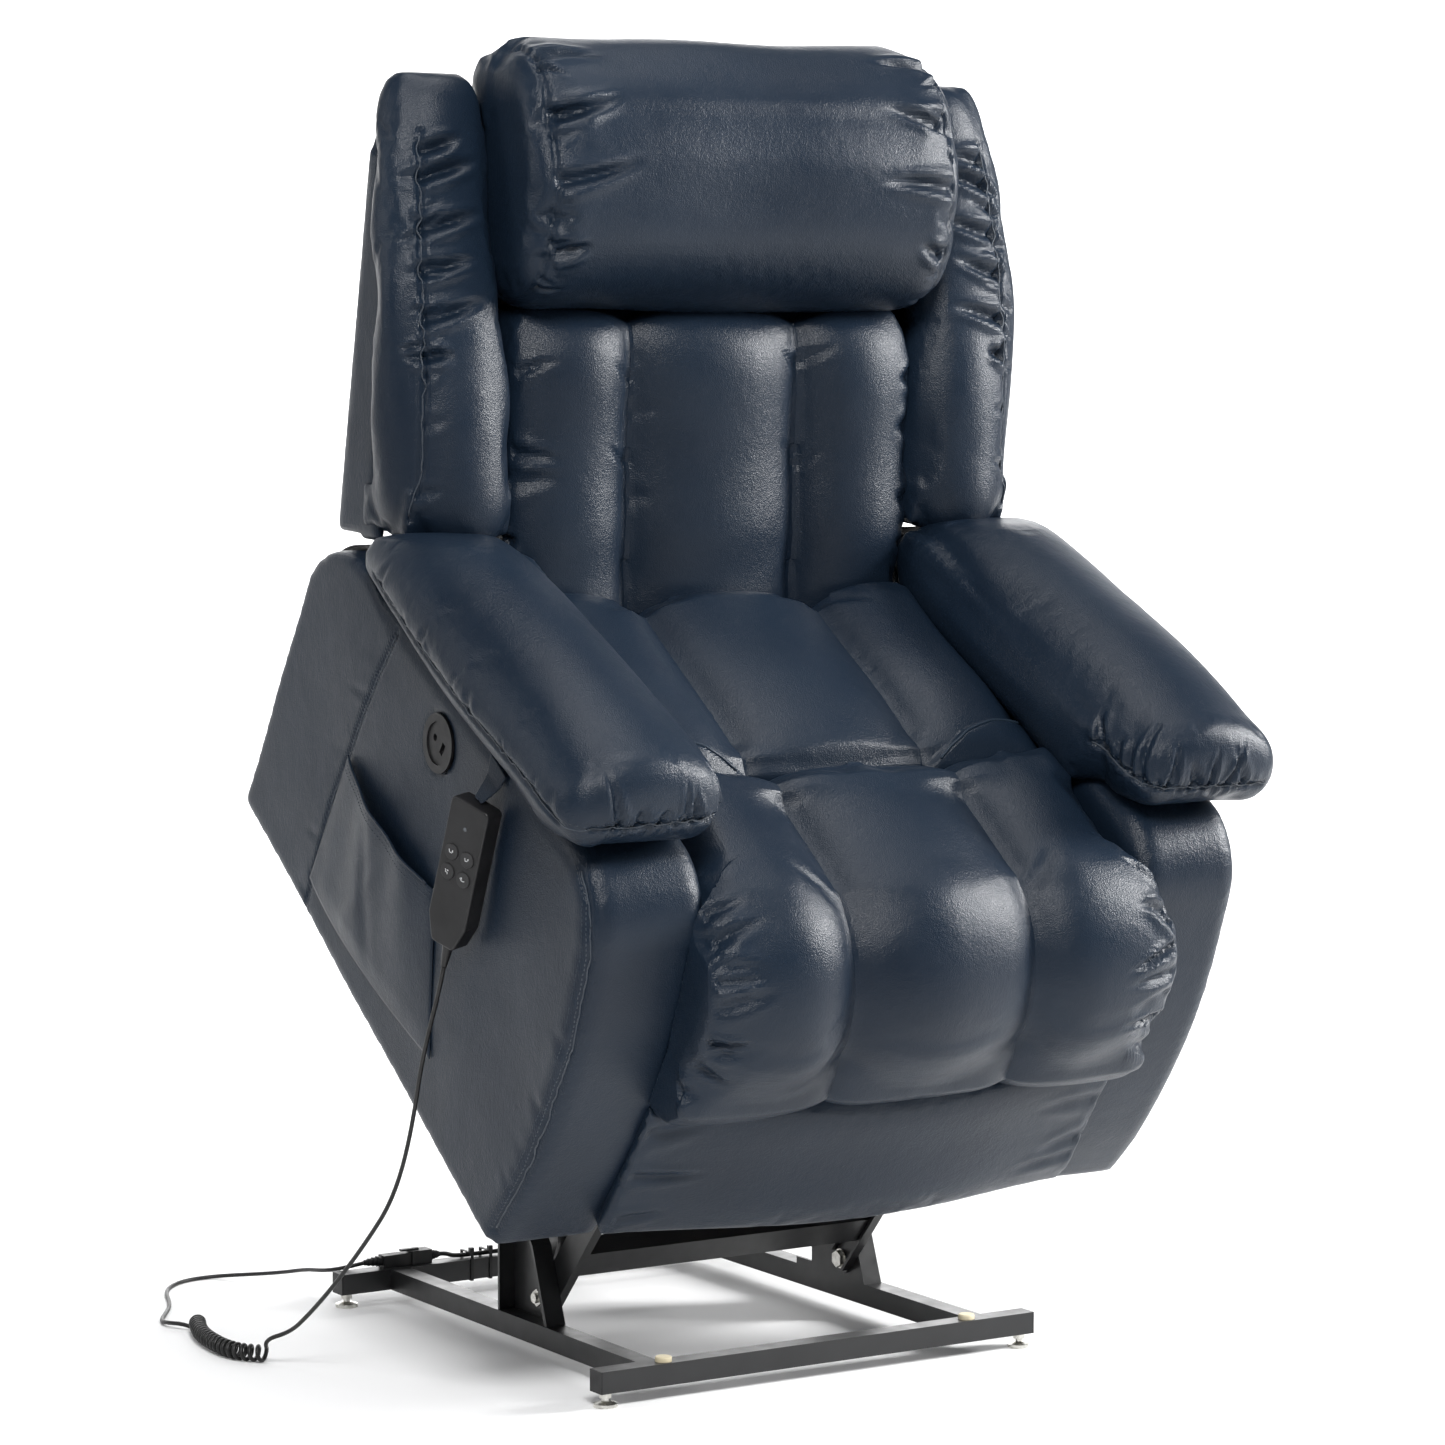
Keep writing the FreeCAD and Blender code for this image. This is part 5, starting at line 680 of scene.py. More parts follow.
def creases(points, marks):
    """Pulled folds: each mark is (start, end, width, depth), a groove with a low ridge beside it.

    The groove lies in the surface's own plane at its start, is full for its first third and then fades.
    """
    patch, enough, bow, ridge, taper = 0.014, 12, 0.10, 0.4, 0.45
    total = np.zeros(len(points))
    for start, end, width, depth in marks:
        whole = np.asarray(end) - np.asarray(start)
        away = points - np.asarray(start)
        distance = np.linalg.norm(away, axis=1)
        close = away[distance < patch]
        if len(close) < enough:
            continue
        outward = np.linalg.svd(close - close.mean(axis=0), full_matrices=False)[2][2]
        run = whole - outward * whole.dot(outward)
        reach = np.linalg.norm(run)
        if reach < 0.2 * np.linalg.norm(whole):
            continue
        level = np.abs(away @ outward) < 0.012 + 0.5 * reach
        near = np.flatnonzero((distance < reach + 4 * width) & level)
        place = away[near] @ run / reach ** 2
        bend = bow * reach * math.sin(900.0 * float(np.sum(start))) * np.clip(place, 0, 1) ** 2
        across = np.abs(away[near] @ np.cross(outward, run / reach) - bend)
        thin = width * (1.0 - taper * np.clip(place, 0, 1))
        fade = smooth_step(place, -0.10, 0.04) * (1.0 - smooth_step(place, 0.35, 1.0))
        total[near] -= depth * fade * bell(across, thin)
        total[near] += ridge * depth * fade * bell(across - 2.0 * thin, 1.1 * thin)
    return total


def gathers(line, inward, spacing, reach, width, depth, seed):
    """Marks for a gathered seam: creases along the line that point inward, uneven as sewn leather is.

    One crease to each spacing, on the average as long as reach; width and depth are those of its groove.
    """
    random = np.random.default_rng(seed)
    travelled = travelled_at(line)
    count = max(2, int(travelled[-1] / spacing))
    places = (np.arange(count) + 0.5 + random.uniform(-0.35, 0.35, count)) * travelled[-1] / count
    starts = between(line, travelled, places)
    tangent = unit(between(np.diff(line, axis=0), travelled[1:], places))
    inward = np.asarray(inward, float)
    marks = []
    for start, forward in zip(starts, tangent):
        way = inward + forward * random.uniform(-0.35, 0.35)
        end = start + way / np.linalg.norm(way) * (reach * random.uniform(0.45, 1.2))
        marks.append((start, end, width * random.uniform(0.7, 1.3), depth * random.uniform(0.5, 1.15)))
    return marks


def relief(piece, *layers):
    """Moves every point along its normal by the sum of the layers, each a function of the points."""
    points = points_of(piece)
    normals = rows_of(piece.data.vertex_normals, "vector")
    height = sum(layer(points) for layer in layers)
    put_points(piece, points + normals * height[:, None])


def slow_swell(points, seed, wave, height):
    """Soft unevenness of the filling: a few long sine waves in scattered directions."""
    random = np.random.default_rng(seed)
    waves = 7
    total = np.zeros(len(points))
    for _ in range(waves):
        direction = unit(random.normal(size=3))
        turns = 2 * math.pi / (wave * random.uniform(0.7, 1.5))
        total += np.sin(points @ direction * turns + random.uniform(0, 6.3))
    return height * total / waves


def filled_case(name, node_names, voxel, pressure=0.0, cap=0.0, extra=()):
    """A case that is blown up where a pressure is given, then rounded by one subdivision."""
    piece = case_of(name, node_names, voxel, extra)
    if pressure:
        blown_up(piece, pressure, cap)
    return applied(piece, "SUBSURF", levels=1, render_levels=1)


# %% [markdown]
# ## Seams in thread
#
# Topstitching is a row of short dashes beside a seam. Each dash is a slim four-sided lozenge laid on the
# finished leather, and all dashes of a seam are one mesh. In the dip of a seam lies its thread, and where
# a seam is piped, a thin roll of leather.

# %% Stitches and piping
def nearest_on(piece, wanted):
    """The points of a piece nearest to some places, with the normals there."""
    corners = [vertex.co for vertex in piece.data.vertices]
    tree = BVHTree.FromPolygons(corners, [face.vertices for face in piece.data.polygons])
    found = [tree.find_nearest(Vector(point)) for point in wanted]
    return np.array([hit[0] for hit in found]), np.array([hit[1] for hit in found])


def laid_on(piece, line, spacing):
    """Even places along a line, brought to the nearest point of a piece, with the normals there."""
    line = np.asarray(line, float)
    travelled = travelled_at(line)
    places = np.arange(0.5 * spacing, travelled[-1], spacing)
    return nearest_on(piece, between(line, travelled, places))


def stitches(name, piece, line, body, pitch=0.0055, length=0.0036, radius=0.00042, lift=0.0002):
    """Dashes of thread: each has four rings of four points, thin at the ends and full in the middle."""
    places, normals = laid_on(piece, line, pitch)
    forward = unit(np.gradient(places, axis=0))
    side = unit(np.cross(normals, forward))
    shape_along = np.array([-0.5, -0.3, 0.3, 0.5]) * length
    fullness = np.array([0.35, 1.0, 1.0, 0.35]) * radius
    drop = np.array([-0.0006, 0.0, 0.0, -0.0006])
    angle = np.arange(4) * math.pi / 2
    centre = places[:, None] + forward[:, None] * shape_along[None, :, None]
    centre = centre + normals[:, None] * (drop + lift)[None, :, None]
    cos, sin = np.cos(angle)[None, None, :, None], np.sin(angle)[None, None, :, None]
    spokes = cos * side[:, None, None] + sin * normals[:, None, None]
    ring = centre[:, :, None] + fullness[None, :, None, None] * spokes
    one = grid_quads(4, 4, wrap_columns=True).tolist() + [[0, 1, 2, 3], [12, 13, 14, 15]]
    faces = [[corner + 16 * number for corner in face] for number in range(len(places)) for face in one]
    made = new_piece(name, ring, faces)
    finish_of(made, finishes["thread"])
    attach(made, body)


def laid_tube(name, piece, line, body, radius=0.0008, lift=0.0002, sides=6, material=finishes["thread"]):
    """A thin tube along a line on a piece: the thread down in a seam's dip, or a seam's piping."""
    places, normals = laid_on(piece, line, 0.006)
    made = tube(name, smooth_line(places + normals * lift, 3), radius, sides)
    finish_of(made, material)
    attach(made, body)


def dress(piece, body, *nodes, fill):
    """Finish, slot, replaced CAD nodes and body of a leather piece; fill, the softness, is not used."""
    finish_of(piece, slate_leather)
    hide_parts(*nodes)
    if body:
        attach(piece, body)
    print(piece.name, len(piece.data.polygons), "faces")


# %% [markdown]
# ## The leg rest cover
#
# One long padded cover starts at the front seam of the seat, rolls over the knee edge and hangs down to
# the footrest board. Two sewn channels make three plump lobes. It is one piece because the real cover
# is one panel.

# %% Leg rest cover, filled
TUCK = ((-0.012, 0.285), (-0.012, 0.214), (-0.030, 0.209), (-0.050, 0.217), (-0.066, 0.245), (-0.060, 0.290))
GUSSET = (
    (-0.055, 0.300), (-0.060, 0.240), (-0.020, 0.210), (0.034, 0.222), (0.050, 0.300), (0.050, 0.400),
    (-0.010, 0.420), (-0.045, 0.380),
)
LIP = ((0.190, 0.400), (0.190, 0.461), (0.249, 0.461), (0.249, 0.400))


def slab(section, low, high, ruler=seat):
    """A prism between two places across the chair: the section's points on the ruler, at both."""
    section = np.asarray(section, float)
    points = np.concatenate([ruler(place, section[:, 0], section[:, 1]) for place in (low, high)])
    count = len(section)
    faces = grid_quads(2, count, wrap_columns=True).tolist()
    return points, faces + [list(range(count)), list(range(count, 2 * count))]


leg_cover = filled_case(
    "leg_rest_cover", ["seat_front_pad", "knee_roll", "leg_pad"], voxel=0.008, pressure=3.0, cap=0.009,
    extra=[
        slab(TUCK, -0.268, 0.268), slab(GUSSET, -0.278, -0.236), slab(GUSSET, 0.236, 0.278),
        slab(LIP, -0.268, 0.268),
    ],
)

# %% Leg rest cover, sewn
SEAT_CHANNEL = 0.117
BACK_CHANNEL = 0.112
CHANNEL_DEPTH = 0.0120
CHANNEL_WIDTH = 0.024
KNEE_ROLL = 0.124


def read_back(points, origin, angle):
    """A tilted ruler read backwards: how far along it and how far up from it each point is."""
    y, z = points[:, 1] - origin[0], points[:, 2] - origin[1]
    cos, sin = math.cos(angle), math.sin(angle)
    return y * cos + z * sin, z * cos - y * sin


def seat_rulers(points):
    return read_back(points, SEAT_ORIGIN, TILT)


def back_rulers(points):
    return read_back(points, BACK_ORIGIN, BACK_TILT)


def channels(points, across, outside):
    """Sewn channels at plus and minus across: deepest at the seam, fading with the distance from it."""
    away = np.abs(np.abs(points[:, 0]) - across)
    return -outside * CHANNEL_DEPTH * np.exp(-away / CHANNEL_WIDTH)


def from_knee(points):
    """Distance from the knee hinge, and the angle round it from straight back, in degrees."""
    along_seat, up = seat_rulers(points)
    run, rise = along_seat - KNEE[0], up - KNEE[1]
    return np.hypot(run, rise), np.degrees(np.arctan2(rise, run)) % 360


def knee_point(x, degrees, radius):
    angle = np.radians(degrees)
    return seat(x, KNEE[0] + radius * np.cos(angle), KNEE[1] + radius * np.sin(angle))


def leg_relief(points):
    reach, turn = from_knee(points)
    outside = smooth_step(reach, 0.085, 0.100)
    return channels(points, SEAT_CHANNEL, outside) + slow_swell(points, 5, 0.16, 0.004)


ROOM_BETWEEN = 0.2785
SPREAD_FROM = 0.19
SPREAD_OVER = 0.085
SPREAD = 0.024
BOX_FRONT = ((0.0, 0.0), (0.123, -0.016), (0.293, -0.007), (0.404, 0.024), (0.448, 0.050), (0.476, 0.101))


def widened(points):
    """Ahead of the arm boxes the cover spreads sideways; between them it keeps to its gap."""
    along_seat, up = seat_rulers(points)
    height, box_front = zip(*BOX_FRONT)
    front = np.interp(up, height, box_front)
    share = smooth_step(front - along_seat, -0.012, 0.001)
    across = np.abs(points[:, 0])
    outer = np.clip((across - SPREAD_FROM) / SPREAD_OVER, 0.0, 1.2)
    wide = np.minimum(across, ROOM_BETWEEN) + outer ** 1.5 * SPREAD * share
    moved = points.copy()
    moved[:, 0] = np.sign(points[:, 0]) * np.where(across > SPREAD_FROM, wide, across)
    return moved


put_points(leg_cover, widened(points_of(leg_cover)))
edge_marks = []
for side, seed in ((-1, 11), (1, 12)):
    edge = laid_on(leg_cover, knee_point(side * 0.298, np.linspace(96, 224, 24), KNEE_ROLL), 0.01)[0]
    edge_marks += gathers(edge, (-side, 0, 0), 0.025, 0.080, 0.0068, 0.0062, seed)
    hem = knee_point(np.linspace(-0.26, 0.26, 20), 224.0, 0.120)
    edge_marks += gathers(hem, seat_way(0, -0.02, 0.09), 0.075, 0.040, 0.008, 0.0020, seed + 10)
relief(leg_cover, leg_relief, lambda points: creases(points, edge_marks))
dress(leg_cover, None, "seat_front_pad", "knee_roll", "leg_pad", fill=0.7)
tuple(seat(0.0, 0.110, 0.462))
tuple(seat(0.0, -0.066, 0.262))
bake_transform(leg_cover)

# %% [markdown]
# ## Seat and back cushions
#
# Both cushions are three rolls side by side, parted by two sewn channels. The rolls come from the CAD
# solid's arcs. Filling rounds them, and the channel function then pulls the two seams back in, deep and
# narrow.

# %% Seat cushion
UNDERLAP = ((0.252, 0.395), (0.252, 0.436), (0.300, 0.440), (0.300, 0.395))
LOBE_EDGE = ((0.118, 0.256), (0.140, 0.272), (0.175, 0.290), (0.215, 0.301), (0.262, 0.304))
LOBE_RISE = 0.0065
seat_pad = filled_case(
    "seat_cushion_cover", ["seat_cushion"], voxel=0.008, pressure=2.5, cap=0.006,
    extra=[slab(UNDERLAP, -0.262, 0.262)],
)


def lobe_edge(across):
    """Where an outer lobe of the leg rest cover ends on the seat, from the place across the chair."""
    return np.interp(across, *np.array(LOBE_EDGE).T, left=0.0)


def seat_relief(points):
    along_seat, up = seat_rulers(points)
    upper = smooth_step(up, 0.38, 0.42)
    lobe = smooth_step(lobe_edge(np.abs(points[:, 0])) - along_seat, -0.003, 0.008)
    swell = slow_swell(points, 8, 0.2, 0.003)
    return channels(points, SEAT_CHANNEL, upper) + swell + LOBE_RISE * lobe * upper


relief(seat_pad, seat_relief)
dress(seat_pad, "seat_frame", "seat_cushion", fill=0.7)

# %% Back cushion
SHOULDER = ((-0.085, 0.152), (-0.020, 0.152), (-0.020, 0.205), (-0.080, 0.205))
back_pad = filled_case(
    "back_cushion_cover", ["back_cushion"], voxel=0.008, pressure=3.0, cap=0.008,
    extra=[slab(SHOULDER, -0.272, -0.240, back), slab(SHOULDER, 0.240, 0.272, back)],
)

back_marks = []
for side, seed in ((-1, 21), (1, 22)):
    rim = back(side * 0.258, -0.085, np.linspace(0.03, 0.36, 20))
    rim = laid_on(back_pad, rim, 0.01)[0]
    back_marks += gathers(rim, back_way(-side, -0.1, 0.2), 0.060, 0.085, 0.0085, 0.0050, seed)
    seam = back(side * BACK_CHANNEL, -0.09, np.linspace(0.03, 0.37, 20))
    back_marks += gathers(seam, (side, 0, 0.5), 0.080, 0.045, 0.008, 0.0022, seed + 4)
    back_marks += gathers(seam, (-side, 0, 0.4), 0.095, 0.040, 0.008, 0.0018, seed + 6)


def back_relief(points):
    front = 1.0 - smooth_step(back_rulers(points)[0], -0.060, -0.035)
    return channels(points, BACK_CHANNEL, front) + slow_swell(points, 9, 0.2, 0.004)


relief(back_pad, back_relief, lambda points: creases(points, back_marks))
dress(back_pad, "backrest", "back_cushion", fill=0.75)

# %% [markdown]
# ## Head pillow
#
# The pillow is a fat roll across the top of the back, sewn to an end panel at each side. The case is
# cut fuller than its end panels, so its edge is gathered there, and short folds run in from the seam.

# %% Head pillow
CREST = ((-0.030, 0.600), (0.022, 0.600), (0.024, 0.650), (0.010, 0.676), (-0.028, 0.684))
END_FILL = ((-0.095, 0.435), (0.010, 0.435), (0.010, 0.605), (-0.095, 0.605))
END_PROFILE = (
    (-0.100, 0.420), (-0.140, 0.450), (-0.152, 0.520), (-0.134, 0.610), (-0.098, 0.665), (-0.040, 0.688),
)
END_PULLS = ((-0.088, 0.672, 0.085), (-0.134, 0.618, 0.095), (-0.158, 0.548, 0.110), (-0.150, 0.470, 0.050))
pillow = filled_case(
    "head_pillow_cover", ["head_pillow"], voxel=0.0065, pressure=3.0, cap=0.009,
    extra=[slab(CREST, -0.279, 0.279, back), slab(END_FILL, -0.277, 0.277, back)],
)
pillow_marks = []
for side, seed in ((-1, 31), (1, 32)):
    end_seam = np.array([back(side * 0.262, depth, up) for depth, up in END_PROFILE])
    pillow_marks += gathers(end_seam, (-side, 0, 0), 0.030, 0.040, 0.0050, 0.0030, seed)
    starts = nearest_on(pillow, [back(side * 0.258, depth, up) for depth, up, length in END_PULLS])[0]
    for start, (depth, up, length) in zip(starts, END_PULLS):
        pillow_marks.append((start, start + back_way(-side * length, 0, 0.016), 0.0080, 0.0085))


def pillow_relief(points):
    depth, up = back_rulers(points)
    end = bell(np.abs(points[:, 0]) - 0.2655, 0.004) * smooth_step(-depth, 0.02, 0.06)
    return slow_swell(points, 10, 0.22, 0.005) - 0.003 * end


relief(pillow, pillow_relief, lambda points: creases(points, pillow_marks))
dress(pillow, "backrest", "head_pillow", fill=0.8)

# %% [markdown]
# ## Wings
#
# The wings are tall bolsters on both sides of the back. Their outer edge is gathered into the seam of
# the back's side panel, most of all half way up, where the wing is widest.

# %% Wings
WING_SEAM = (
    (-0.128, 0.155), (-0.130, 0.250), (-0.134, 0.350), (-0.138, 0.450), (-0.134, 0.550), (-0.110, 0.630),
)
WING_PULLS = ((0.604, 0.055), (0.567, 0.080), (0.505, 0.085), (0.453, 0.075), (0.396, 0.085), (0.352, 0.040))
WING_FOOT = ((-0.104, 0.151), (0.000, 0.151), (0.000, 0.200), (-0.112, 0.200))
WING_SIDE = 0.406
wings = {}
for side, name in SIDES:
    foot = slab(WING_FOOT, *sorted((side * 0.272, side * 0.405)), back)
    wing = filled_case(
        f"wing_{name}_cover", [f"wing_{name}"], voxel=0.006, pressure=3.0, cap=0.007, extra=[foot],
    )
    seam = np.array([back(side * WING_SIDE, depth, up) for depth, up in WING_SEAM])
    seam = laid_on(wing, seam, 0.02)[0]
    low, high = len(seam) // 3, len(seam) * 11 // 12
    starts = nearest_on(wing, [back(side * WING_SIDE, -0.134, up) for up, length in WING_PULLS])[0]
    inward = back_way(-side, 0, 0.2)
    lengths = [length for up, length in WING_PULLS]
    marks = [(start, start + length * inward, 0.0078, 0.0090) for start, length in zip(starts, lengths)]
    marks += gathers(seam[low:high], inward, 0.030, 0.035, 0.0050, 0.0034, 45 + side)
    marks += gathers(seam[low:high], -inward, 0.034, 0.035, 0.0055, 0.0040, 47 + side)
    marks += gathers(seam[:low], inward, 0.060, 0.045, 0.0065, 0.0024, 49 + side)
    relief(
        wing, lambda points: creases(points, marks) + slow_swell(points, 13 + side, 0.18, 0.003),
        lambda points: seam_dip(points, seam, 0.0045, 0.0038),
    )
    dress(wing, "backrest", f"wing_{name}", fill=0.75)
    wings[name] = (wing, seam)

# %% [markdown]
# ## Arm pads
#
# Each arm pad is a stuffed roll laid over the sloping arm box. A seam runs along its outer side and
# round the blunt front, and the case is eased into it there with many small gathers.

# %% Arm pads
PAD_SEAM = (
    (0.452, 0.600, 0.450), (0.458, 0.534, 0.458), (0.465, 0.432, 0.471), (0.468, 0.332, 0.486),
    (0.468, 0.261, 0.500), (0.460, 0.190, 0.514), (0.440, 0.125, 0.526), (0.400, 0.090, 0.530),
    (0.350, 0.080, 0.531), (0.300, 0.090, 0.530), (0.262, 0.125, 0.526), (0.256, 0.190, 0.518),
)
DRAPE = (
    (0.2640, -0.020), (0.2785, -0.020), (0.2900, 0.004), (0.2900, 0.060), (0.2620, 0.060),
    (0.2560, 0.032), (0.2570, 0.004),
)
ARM_TOP = 0.477
ARM_TOP_FROM = 0.125
ARM_SLOPE = 0.1206


def arm_drape(side):
    """The pad's inner edge, hanging over the arm box: one section carried along the sloping arm top."""
    section = np.array(DRAPE)
    centre = (0.285, 0.030)
    place = np.linspace(0.150, 0.622, 10)
    top = ARM_TOP - ARM_SLOPE * (place - ARM_TOP_FROM)
    shrink = np.array([0.35] + [1.0] * 8 + [0.6])[:, None]
    across = centre[0] + (section[None, :, 0] - centre[0]) * shrink
    up = top[:, None] + centre[1] + (section[None, :, 1] - centre[1]) * shrink
    points = seat(side * across, place[:, None], up)
    count = len(section)
    faces = grid_quads(len(place), count, wrap_columns=True).tolist()
    ends = [list(range(count)), list(range((len(place) - 1) * count, len(place) * count))]
    return points.reshape(-1, 3), faces + ends


arm_pads = {}
for side, name in SIDES:
    pad = filled_case(
        f"arm_pad_{name}_cover", [f"arm_pad_{name}"], voxel=0.0065, pressure=3.0, cap=0.009,
        extra=[arm_drape(side)],
    )
    seam = np.array([seat(side * across, along_seat, up) for across, along_seat, up in PAD_SEAM])
    seam = laid_on(pad, seam, 0.012)[0]
    front = seam[len(seam) * 2 // 3:]
    run = seam[:len(seam) * 2 // 3]
    above = seat_way(0, 0.6, 0.8)
    marks = gathers(front, above, 0.024, 0.060, 0.0058, 0.0060, 51 + side)
    marks += gathers(front, above, 0.012, 0.024, 0.0042, 0.0028, 53 + side)
    marks += gathers(run, seat_way(-side * 0.3, 0.1, 0.9), 0.060, 0.040, 0.0065, 0.0020, 55 + side)
    marks += gathers(front, seat_way(0, 0.3, -0.9), 0.016, 0.020, 0.0045, 0.0020, 58 + side)
    relief(
        pad, lambda points: creases(points, marks) + seam_dip(points, seam, 0.0042, 0.0040),
        lambda points: slow_swell(points, 17 + side, 0.2, 0.004),
    )
    dress(pad, "seat_frame", f"arm_pad_{name}", fill=0.8)
    arm_pads[name] = (pad, seam)

# %% [markdown]
# ## Arm boxes
#
# The arm boxes are stiff: thin foam and leather over a wooden box. They keep the CAD shape, with softened
# edges, a sewn seam behind the pocket and slight waves where the leather isn't pulled quite flat.

# %% Arm boxes
SIDE_SEAM = ((0.549, 0.415), (0.558, 0.273), (0.561, 0.150), (0.540, 0.006))
FRONT_SEAM = (
    (0.006, 0.010), (-0.008, 0.123), (-0.001, 0.293), (0.030, 0.400), (0.062, 0.445), (0.108, 0.468),
)
panels = {}
for side, name in SIDES:
    panel = filled_case(f"arm_box_{name}_cover", [f"side_panel_{name}"], voxel=0.0075)
    side_seam = np.array([seat(side * 0.425, along_seat, up) for along_seat, up in SIDE_SEAM])
    front_seam = np.array([seat(side * 0.421, along_seat, up) for along_seat, up in FRONT_SEAM])
    side_seam = laid_on(panel, side_seam, 0.02)[0]
    front_seam = laid_on(panel, front_seam, 0.02)[0]
    marks = gathers(side_seam, (0, 1, 0), 0.075, 0.060, 0.010, 0.0010, 61 + side)
    marks += gathers(front_seam, seat_way(0, 1.0, 0.0), 0.070, 0.055, 0.010, 0.0010, 65 + side)
    relief(
        panel, lambda points: seam_dip(points, side_seam, 0.0042, 0.0030),
        lambda points: seam_dip(points, front_seam, 0.0042, 0.0030) + creases(points, marks),
        lambda points: slow_swell(points, 19 + side, 0.24, 0.0022),
    )
    dress(panel, "seat_frame", f"side_panel_{name}", fill=0.95)
    panels[name] = (panel, side_seam, front_seam)

# %% [markdown]
# ## Back shell and footrest board
#
# The shell closes the back and the sides of the backrest. The board is a padded panel below the leg pad,
# pulled tight, with a few folds where it wraps round its ends.

# %% Back shell and footrest board
shell = filled_case("back_shell_cover", ["back_shell"], voxel=0.009)
relief(shell, lambda points: slow_swell(points, 23, 0.3, 0.003))
dress(shell, "backrest", "back_shell", fill=0.95)

BOARD_END = ((-0.030, 0.050), (0.030, 0.055), (0.030, 0.195), (-0.024, 0.198))
board = filled_case(
    "footrest_board_cover", ["footrest_board"], voxel=0.007, pressure=2.0, cap=0.005,
    extra=[slab(BOARD_END, -0.278, -0.240), slab(BOARD_END, 0.240, 0.278)],
)
put_points(board, widened(points_of(board)))
board_marks = []
for side, seed in ((-1, 71), (1, 72)):
    end = laid_on(board, seat(side * 0.298, -0.030, np.linspace(0.035, 0.205, 12)), 0.01)[0]
    board_marks += gathers(end, (-side, 0, 0.25), 0.040, 0.110, 0.009, 0.0034, seed)
relief(board, lambda points: creases(points, board_marks) + slow_swell(points, 25, 0.2, 0.003))
dress(board, "footrest", "footrest_board", fill=0.8)

# %% [markdown]
# ## Side pocket
#
# The pocket is one flat piece of leather, sewn down along three edges and open at the top. Nothing
# fills it, so it isn't padded: it is a sheet that stands off the arm box most at its mouth and hangs
# in a few soft folds.

# %% Side pocket
POCKET_MOUTH = ((0.553, 0.224), (0.424, 0.228), (0.312, 0.239))
POCKET_FOOT = ((0.545, 0.046), (0.412, 0.044), (0.213, 0.078))
POCKET_OUT = 0.4275
POCKET_BULGE = 0.0150


def bowed(points, share):
    """A parabola through three points: the weights are the Lagrange polynomials of the share."""
    first, middle, last = np.asarray(points, float)
    t = share[..., None]
    return first * (1 - t) * (1 - 2 * t) + middle * 4 * t * (1 - t) + last * t * (2 * t - 1)


def pocket_sheet(rows=56, columns=84):
    """Straight lines from the foot curve to the mouth curve; stand-off grows to the mouth and has folds."""
    up, across = np.meshgrid(np.linspace(0, 1, rows), np.linspace(0, 1, columns), indexing="ij")
    flat = bowed(POCKET_FOOT, across) * (1 - up[..., None]) + bowed(POCKET_MOUTH, across) * up[..., None]
    belly = np.sin(math.pi * across) ** 0.7 * (0.25 + 0.75 * up**1.3)
    belly *= np.sin(np.minimum(up * 9.0, math.pi / 2))
    folds = 0.0016 * up * np.sin(2 * math.pi * (2.6 * across + 0.35 * up)) * np.sin(math.pi * across)
    folds += 0.0012 * bell(across - 0.35 - 0.25 * up, 0.05) * np.sin(math.pi * up)
    folds -= 0.0014 * bell(across - 0.62 + 0.30 * up, 0.05) * np.sin(math.pi * up)
    out = POCKET_OUT + POCKET_BULGE * belly + 1.6 * folds * np.minimum(1.0, 4 * belly)
    return seat(-out, flat[..., 0], flat[..., 1])


pocket_grid = pocket_sheet()
pocket = new_piece("side_pocket_leather", pocket_grid, grid_quads(*pocket_grid.shape[:2]).tolist())
if pocket.data.polygons[0].normal.x > 0:
    pocket.data.flip_normals()
applied(pocket, "SOLIDIFY", thickness=0.0014, offset=-1.0)
dress(pocket, "seat_frame", "side_pocket", fill=None)
pocket_hem = tube("pocket_hem", smooth_line(pocket_grid[-1, ::6], 4), 0.0016, sides=8)
finish_of(pocket_hem, slate_leather)
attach(pocket_hem, "seat_frame")

# %% [markdown]
# ## Handset strap and the black cloths
#
# The handset hangs from a short leather strap. Two black cloths close the gap between the arm boxes and
# the back, and a third hangs behind the seat. All are cloth, so they are thin sheets.

# %% Strap and cloths
strap = case_of("handset_strap_leather", ["handset_strap"], 0.0014)
dress(strap, "seat_frame", "handset_strap", fill=None)


def cloth_sheet(name, grid, drop=None):
    """A grid of points as a cloth; a face is left out where drop is true for its middle."""
    quads = grid_quads(*grid.shape[:2])
    if drop is not None:
        quads = quads[~drop(grid.reshape(-1, 3)[quads].mean(axis=1))]
    piece = new_piece(name, grid, quads.tolist())
    area = sum(face.area for face in piece.data.polygons)
    applied(piece, "SOLIDIFY", thickness=0.0016, offset=0.0)
    finish_of(piece, finishes["lining"])
    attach(piece, "backrest")
    return piece, area


def gap_grid(side):
    """A quarter of a drum round the back hinge, then straight on under the wing."""
    turn = np.radians(np.linspace(62, 98, 26))
    radius = 0.1225
    depth = np.append(radius * np.cos(turn), (-0.0195,))
    up = np.append(radius * np.sin(turn), (0.1300,))
    across = np.linspace(0.285, 0.398, 16) * side
    x, along_cloth = np.meshgrid(across, np.arange(len(depth)), indexing="ij")
    return back(x, depth[along_cloth], up[along_cloth])


def skirt_grid():
    """An upright sheet behind the seat that waves a little towards its free lower edge."""
    low, high = -0.053, 0.128
    x, up = np.meshgrid(np.linspace(-0.260, 0.260, 105), np.linspace(low, high, 30), indexing="ij")
    free = (high - up) / (high - low)
    depth = 0.068 + 0.0024 * free * np.sin(x * 34.0) + 0.0008 * np.sin(x * 81.0 + up * 30.0)
    return back(x, depth, up)


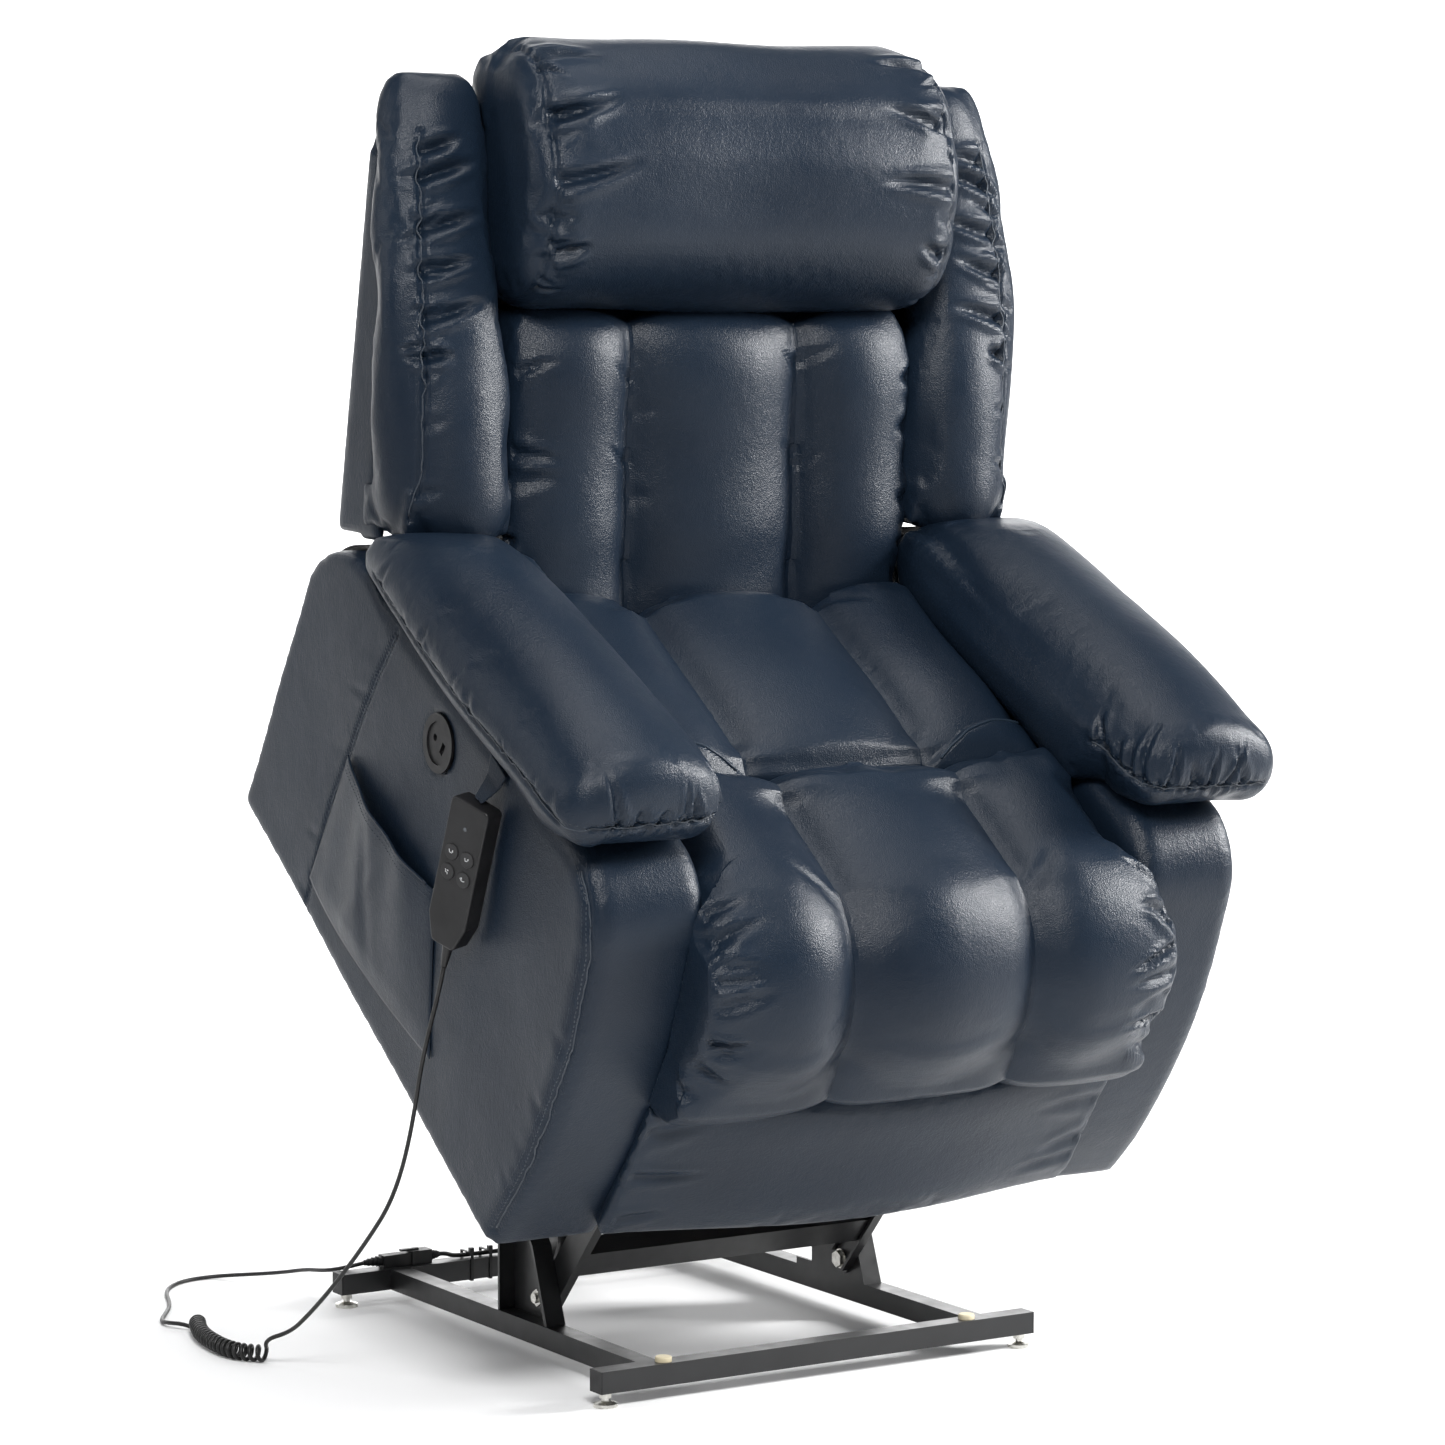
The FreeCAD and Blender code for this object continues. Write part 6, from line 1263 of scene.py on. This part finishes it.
def over_mechanism(middle):
    """The two slots that let the mechanism's plates through the rear cloth."""
    plate, half_slot, slot_top = 0.1945, 0.012, 0.006
    return (np.abs(np.abs(middle[:, 0]) - plate) < half_slot) & (back_rulers(middle)[1] < slot_top)


skirt, skirt_area = cloth_sheet("rear_cloth", skirt_grid(), over_mechanism)
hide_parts("back_lining")
skirt_area = float(min(skirt_area, 0.0965))
for side, name in SIDES:
    gap, gap_area = cloth_sheet(f"gap_cloth_{name}", gap_grid(side))

# %% [markdown]
# ## Stitching and piping
#
# Dark thread on dark leather shows as small lights along the seams. Rows of stitches run beside the arm
# box seams, along the arm pads and at the pocket's mouth, and a line of thread lies in each sewn seam. A
# thin piping edges the two outer lobes of the leg rest cover on the seat.

# %% Stitch rows
aside = seat_way(0, 0.0048, 0)
for name, (panel, side_seam, front_seam) in panels.items():
    for number, shift in enumerate((aside, -aside)):
        stitches(f"stitches_side_{name}_{number}", panel, side_seam + shift, "seat_frame")
    laid_tube(f"side_line_{name}", panel, side_seam, "seat_frame")
    laid_tube(f"front_line_{name}", panel, front_seam, "seat_frame")
    for number, times in enumerate((1.3, 2.6)):
        stitches(f"stitches_front_{name}_{number}", panel, front_seam + times * aside, "seat_frame")
for name, (pad, seam) in arm_pads.items():
    stitches(f"stitches_pad_{name}", pad, seam + seat_way(0, 0, 0.0055), "seat_frame")
    laid_tube(f"pad_line_{name}", pad, seam, "seat_frame")
for name, (wing, seam) in wings.items():
    laid_tube(f"wing_line_{name}", wing, seam, "backrest")
for number, row in enumerate((-3, -5)):
    stitches(f"stitches_pocket_{number}", pocket, pocket_grid[row][2:-2], "seat_frame")

# %% Piping between seat and leg rest cover
for side, name in SIDES:
    bend = [seat(side * across, along_seat, 0.462) for across, along_seat in LOBE_EDGE]
    # The piping's lighter leather is a painted highlight.
    laid_tube(f"lobe_piping_{name}", seat_pad, bend, "seat_frame", 0.0018, 0.0006, 8, piping_painted_highlight_leather)

# %% [markdown]
# ## Key pictograms
#
# Each key carries a pale sign: a small chair side view and an arrow. The signs are flat strokes, a
# rectangle along each run, laid a tenth of a millimetre above the key.

# %% Key pictograms
ink = moulded("pale_ink", (0.52, 0.53, 0.54), (0.64, 0.65, 0.66), 0.5, 0.6)
KEY_ACROSS = np.array([0.342, -0.865, -0.364])
KEY_UP = np.array([0.0, -0.3875, 0.9219])
KEY_OUT = unit(np.cross(KEY_ACROSS, KEY_UP))
if KEY_OUT[0] > 0:
    KEY_OUT = -KEY_OUT
SIGNS = {
    "button_lift": (
        ((-2.2, 1.8), (-1.2, -1.0), (1.6, -0.2)), ((1.8, 0.9), (2.8, 2.6)),
        ((2.0, 2.3), (2.8, 2.6), (3.0, 1.7)),
    ),
    "button_lower": (
        ((-2.4, 2.0), (-1.4, -0.8), (1.6, -0.8)), ((2.6, 2.4), (2.6, 0.4)),
        ((2.0, 1.1), (2.6, 0.4), (3.2, 1.1)),
    ),
    "button_recline": (
        ((-3.2, 1.0), (-1.2, -0.8), (1.4, -0.8), (3.0, -0.2)), ((-0.6, 1.2), (-2.0, 2.4)),
        ((-1.9, 1.6), (-2.0, 2.4), (-1.2, 2.4)),
    ),
    "button_return": (
        ((-2.0, 2.2), (-1.2, -0.8), (1.2, -0.8), (1.4, -2.4)), ((0.2, 1.8), (1.9, 1.8)),
        ((1.3, 2.4), (1.9, 1.8), (1.3, 1.2)),
    ),
}


def strokes(centre, lines):
    """Each run of a line, in millimetres, as a thin rectangle on the key's face."""
    half_width = 0.00042
    points, faces = [], []
    for line in lines:
        for start, end in zip(line, line[1:]):
            start, end = np.array(start) / 1000, np.array(end) / 1000
            run = unit(end - start)
            side, tip = np.array([-run[1], run[0]]) * half_width, run * half_width
            corners = [start - side - tip, start + side - tip, end + side + tip, end - side + tip]
            faces.append([len(points) + number for number in range(4)])
            points += [centre + corner[0] * KEY_ACROSS + corner[1] * KEY_UP for corner in corners]
    return points, faces


for node_name, lines in SIGNS.items():
    key = points_of(frame["nodes"][node_name])
    middle = (key.min(axis=0) + key.max(axis=0)) / 2
    top = (key @ KEY_OUT).max() - middle.dot(KEY_OUT)
    points, faces = strokes(middle + KEY_OUT * (top + 0.0001), lines)
    sign = new_piece(f"sign_{node_name[7:]}", points, faces)
    applied(sign, "SOLIDIFY", thickness=0.00012, offset=0.0)
    finish_of(sign, ink)
    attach(sign, node_name)
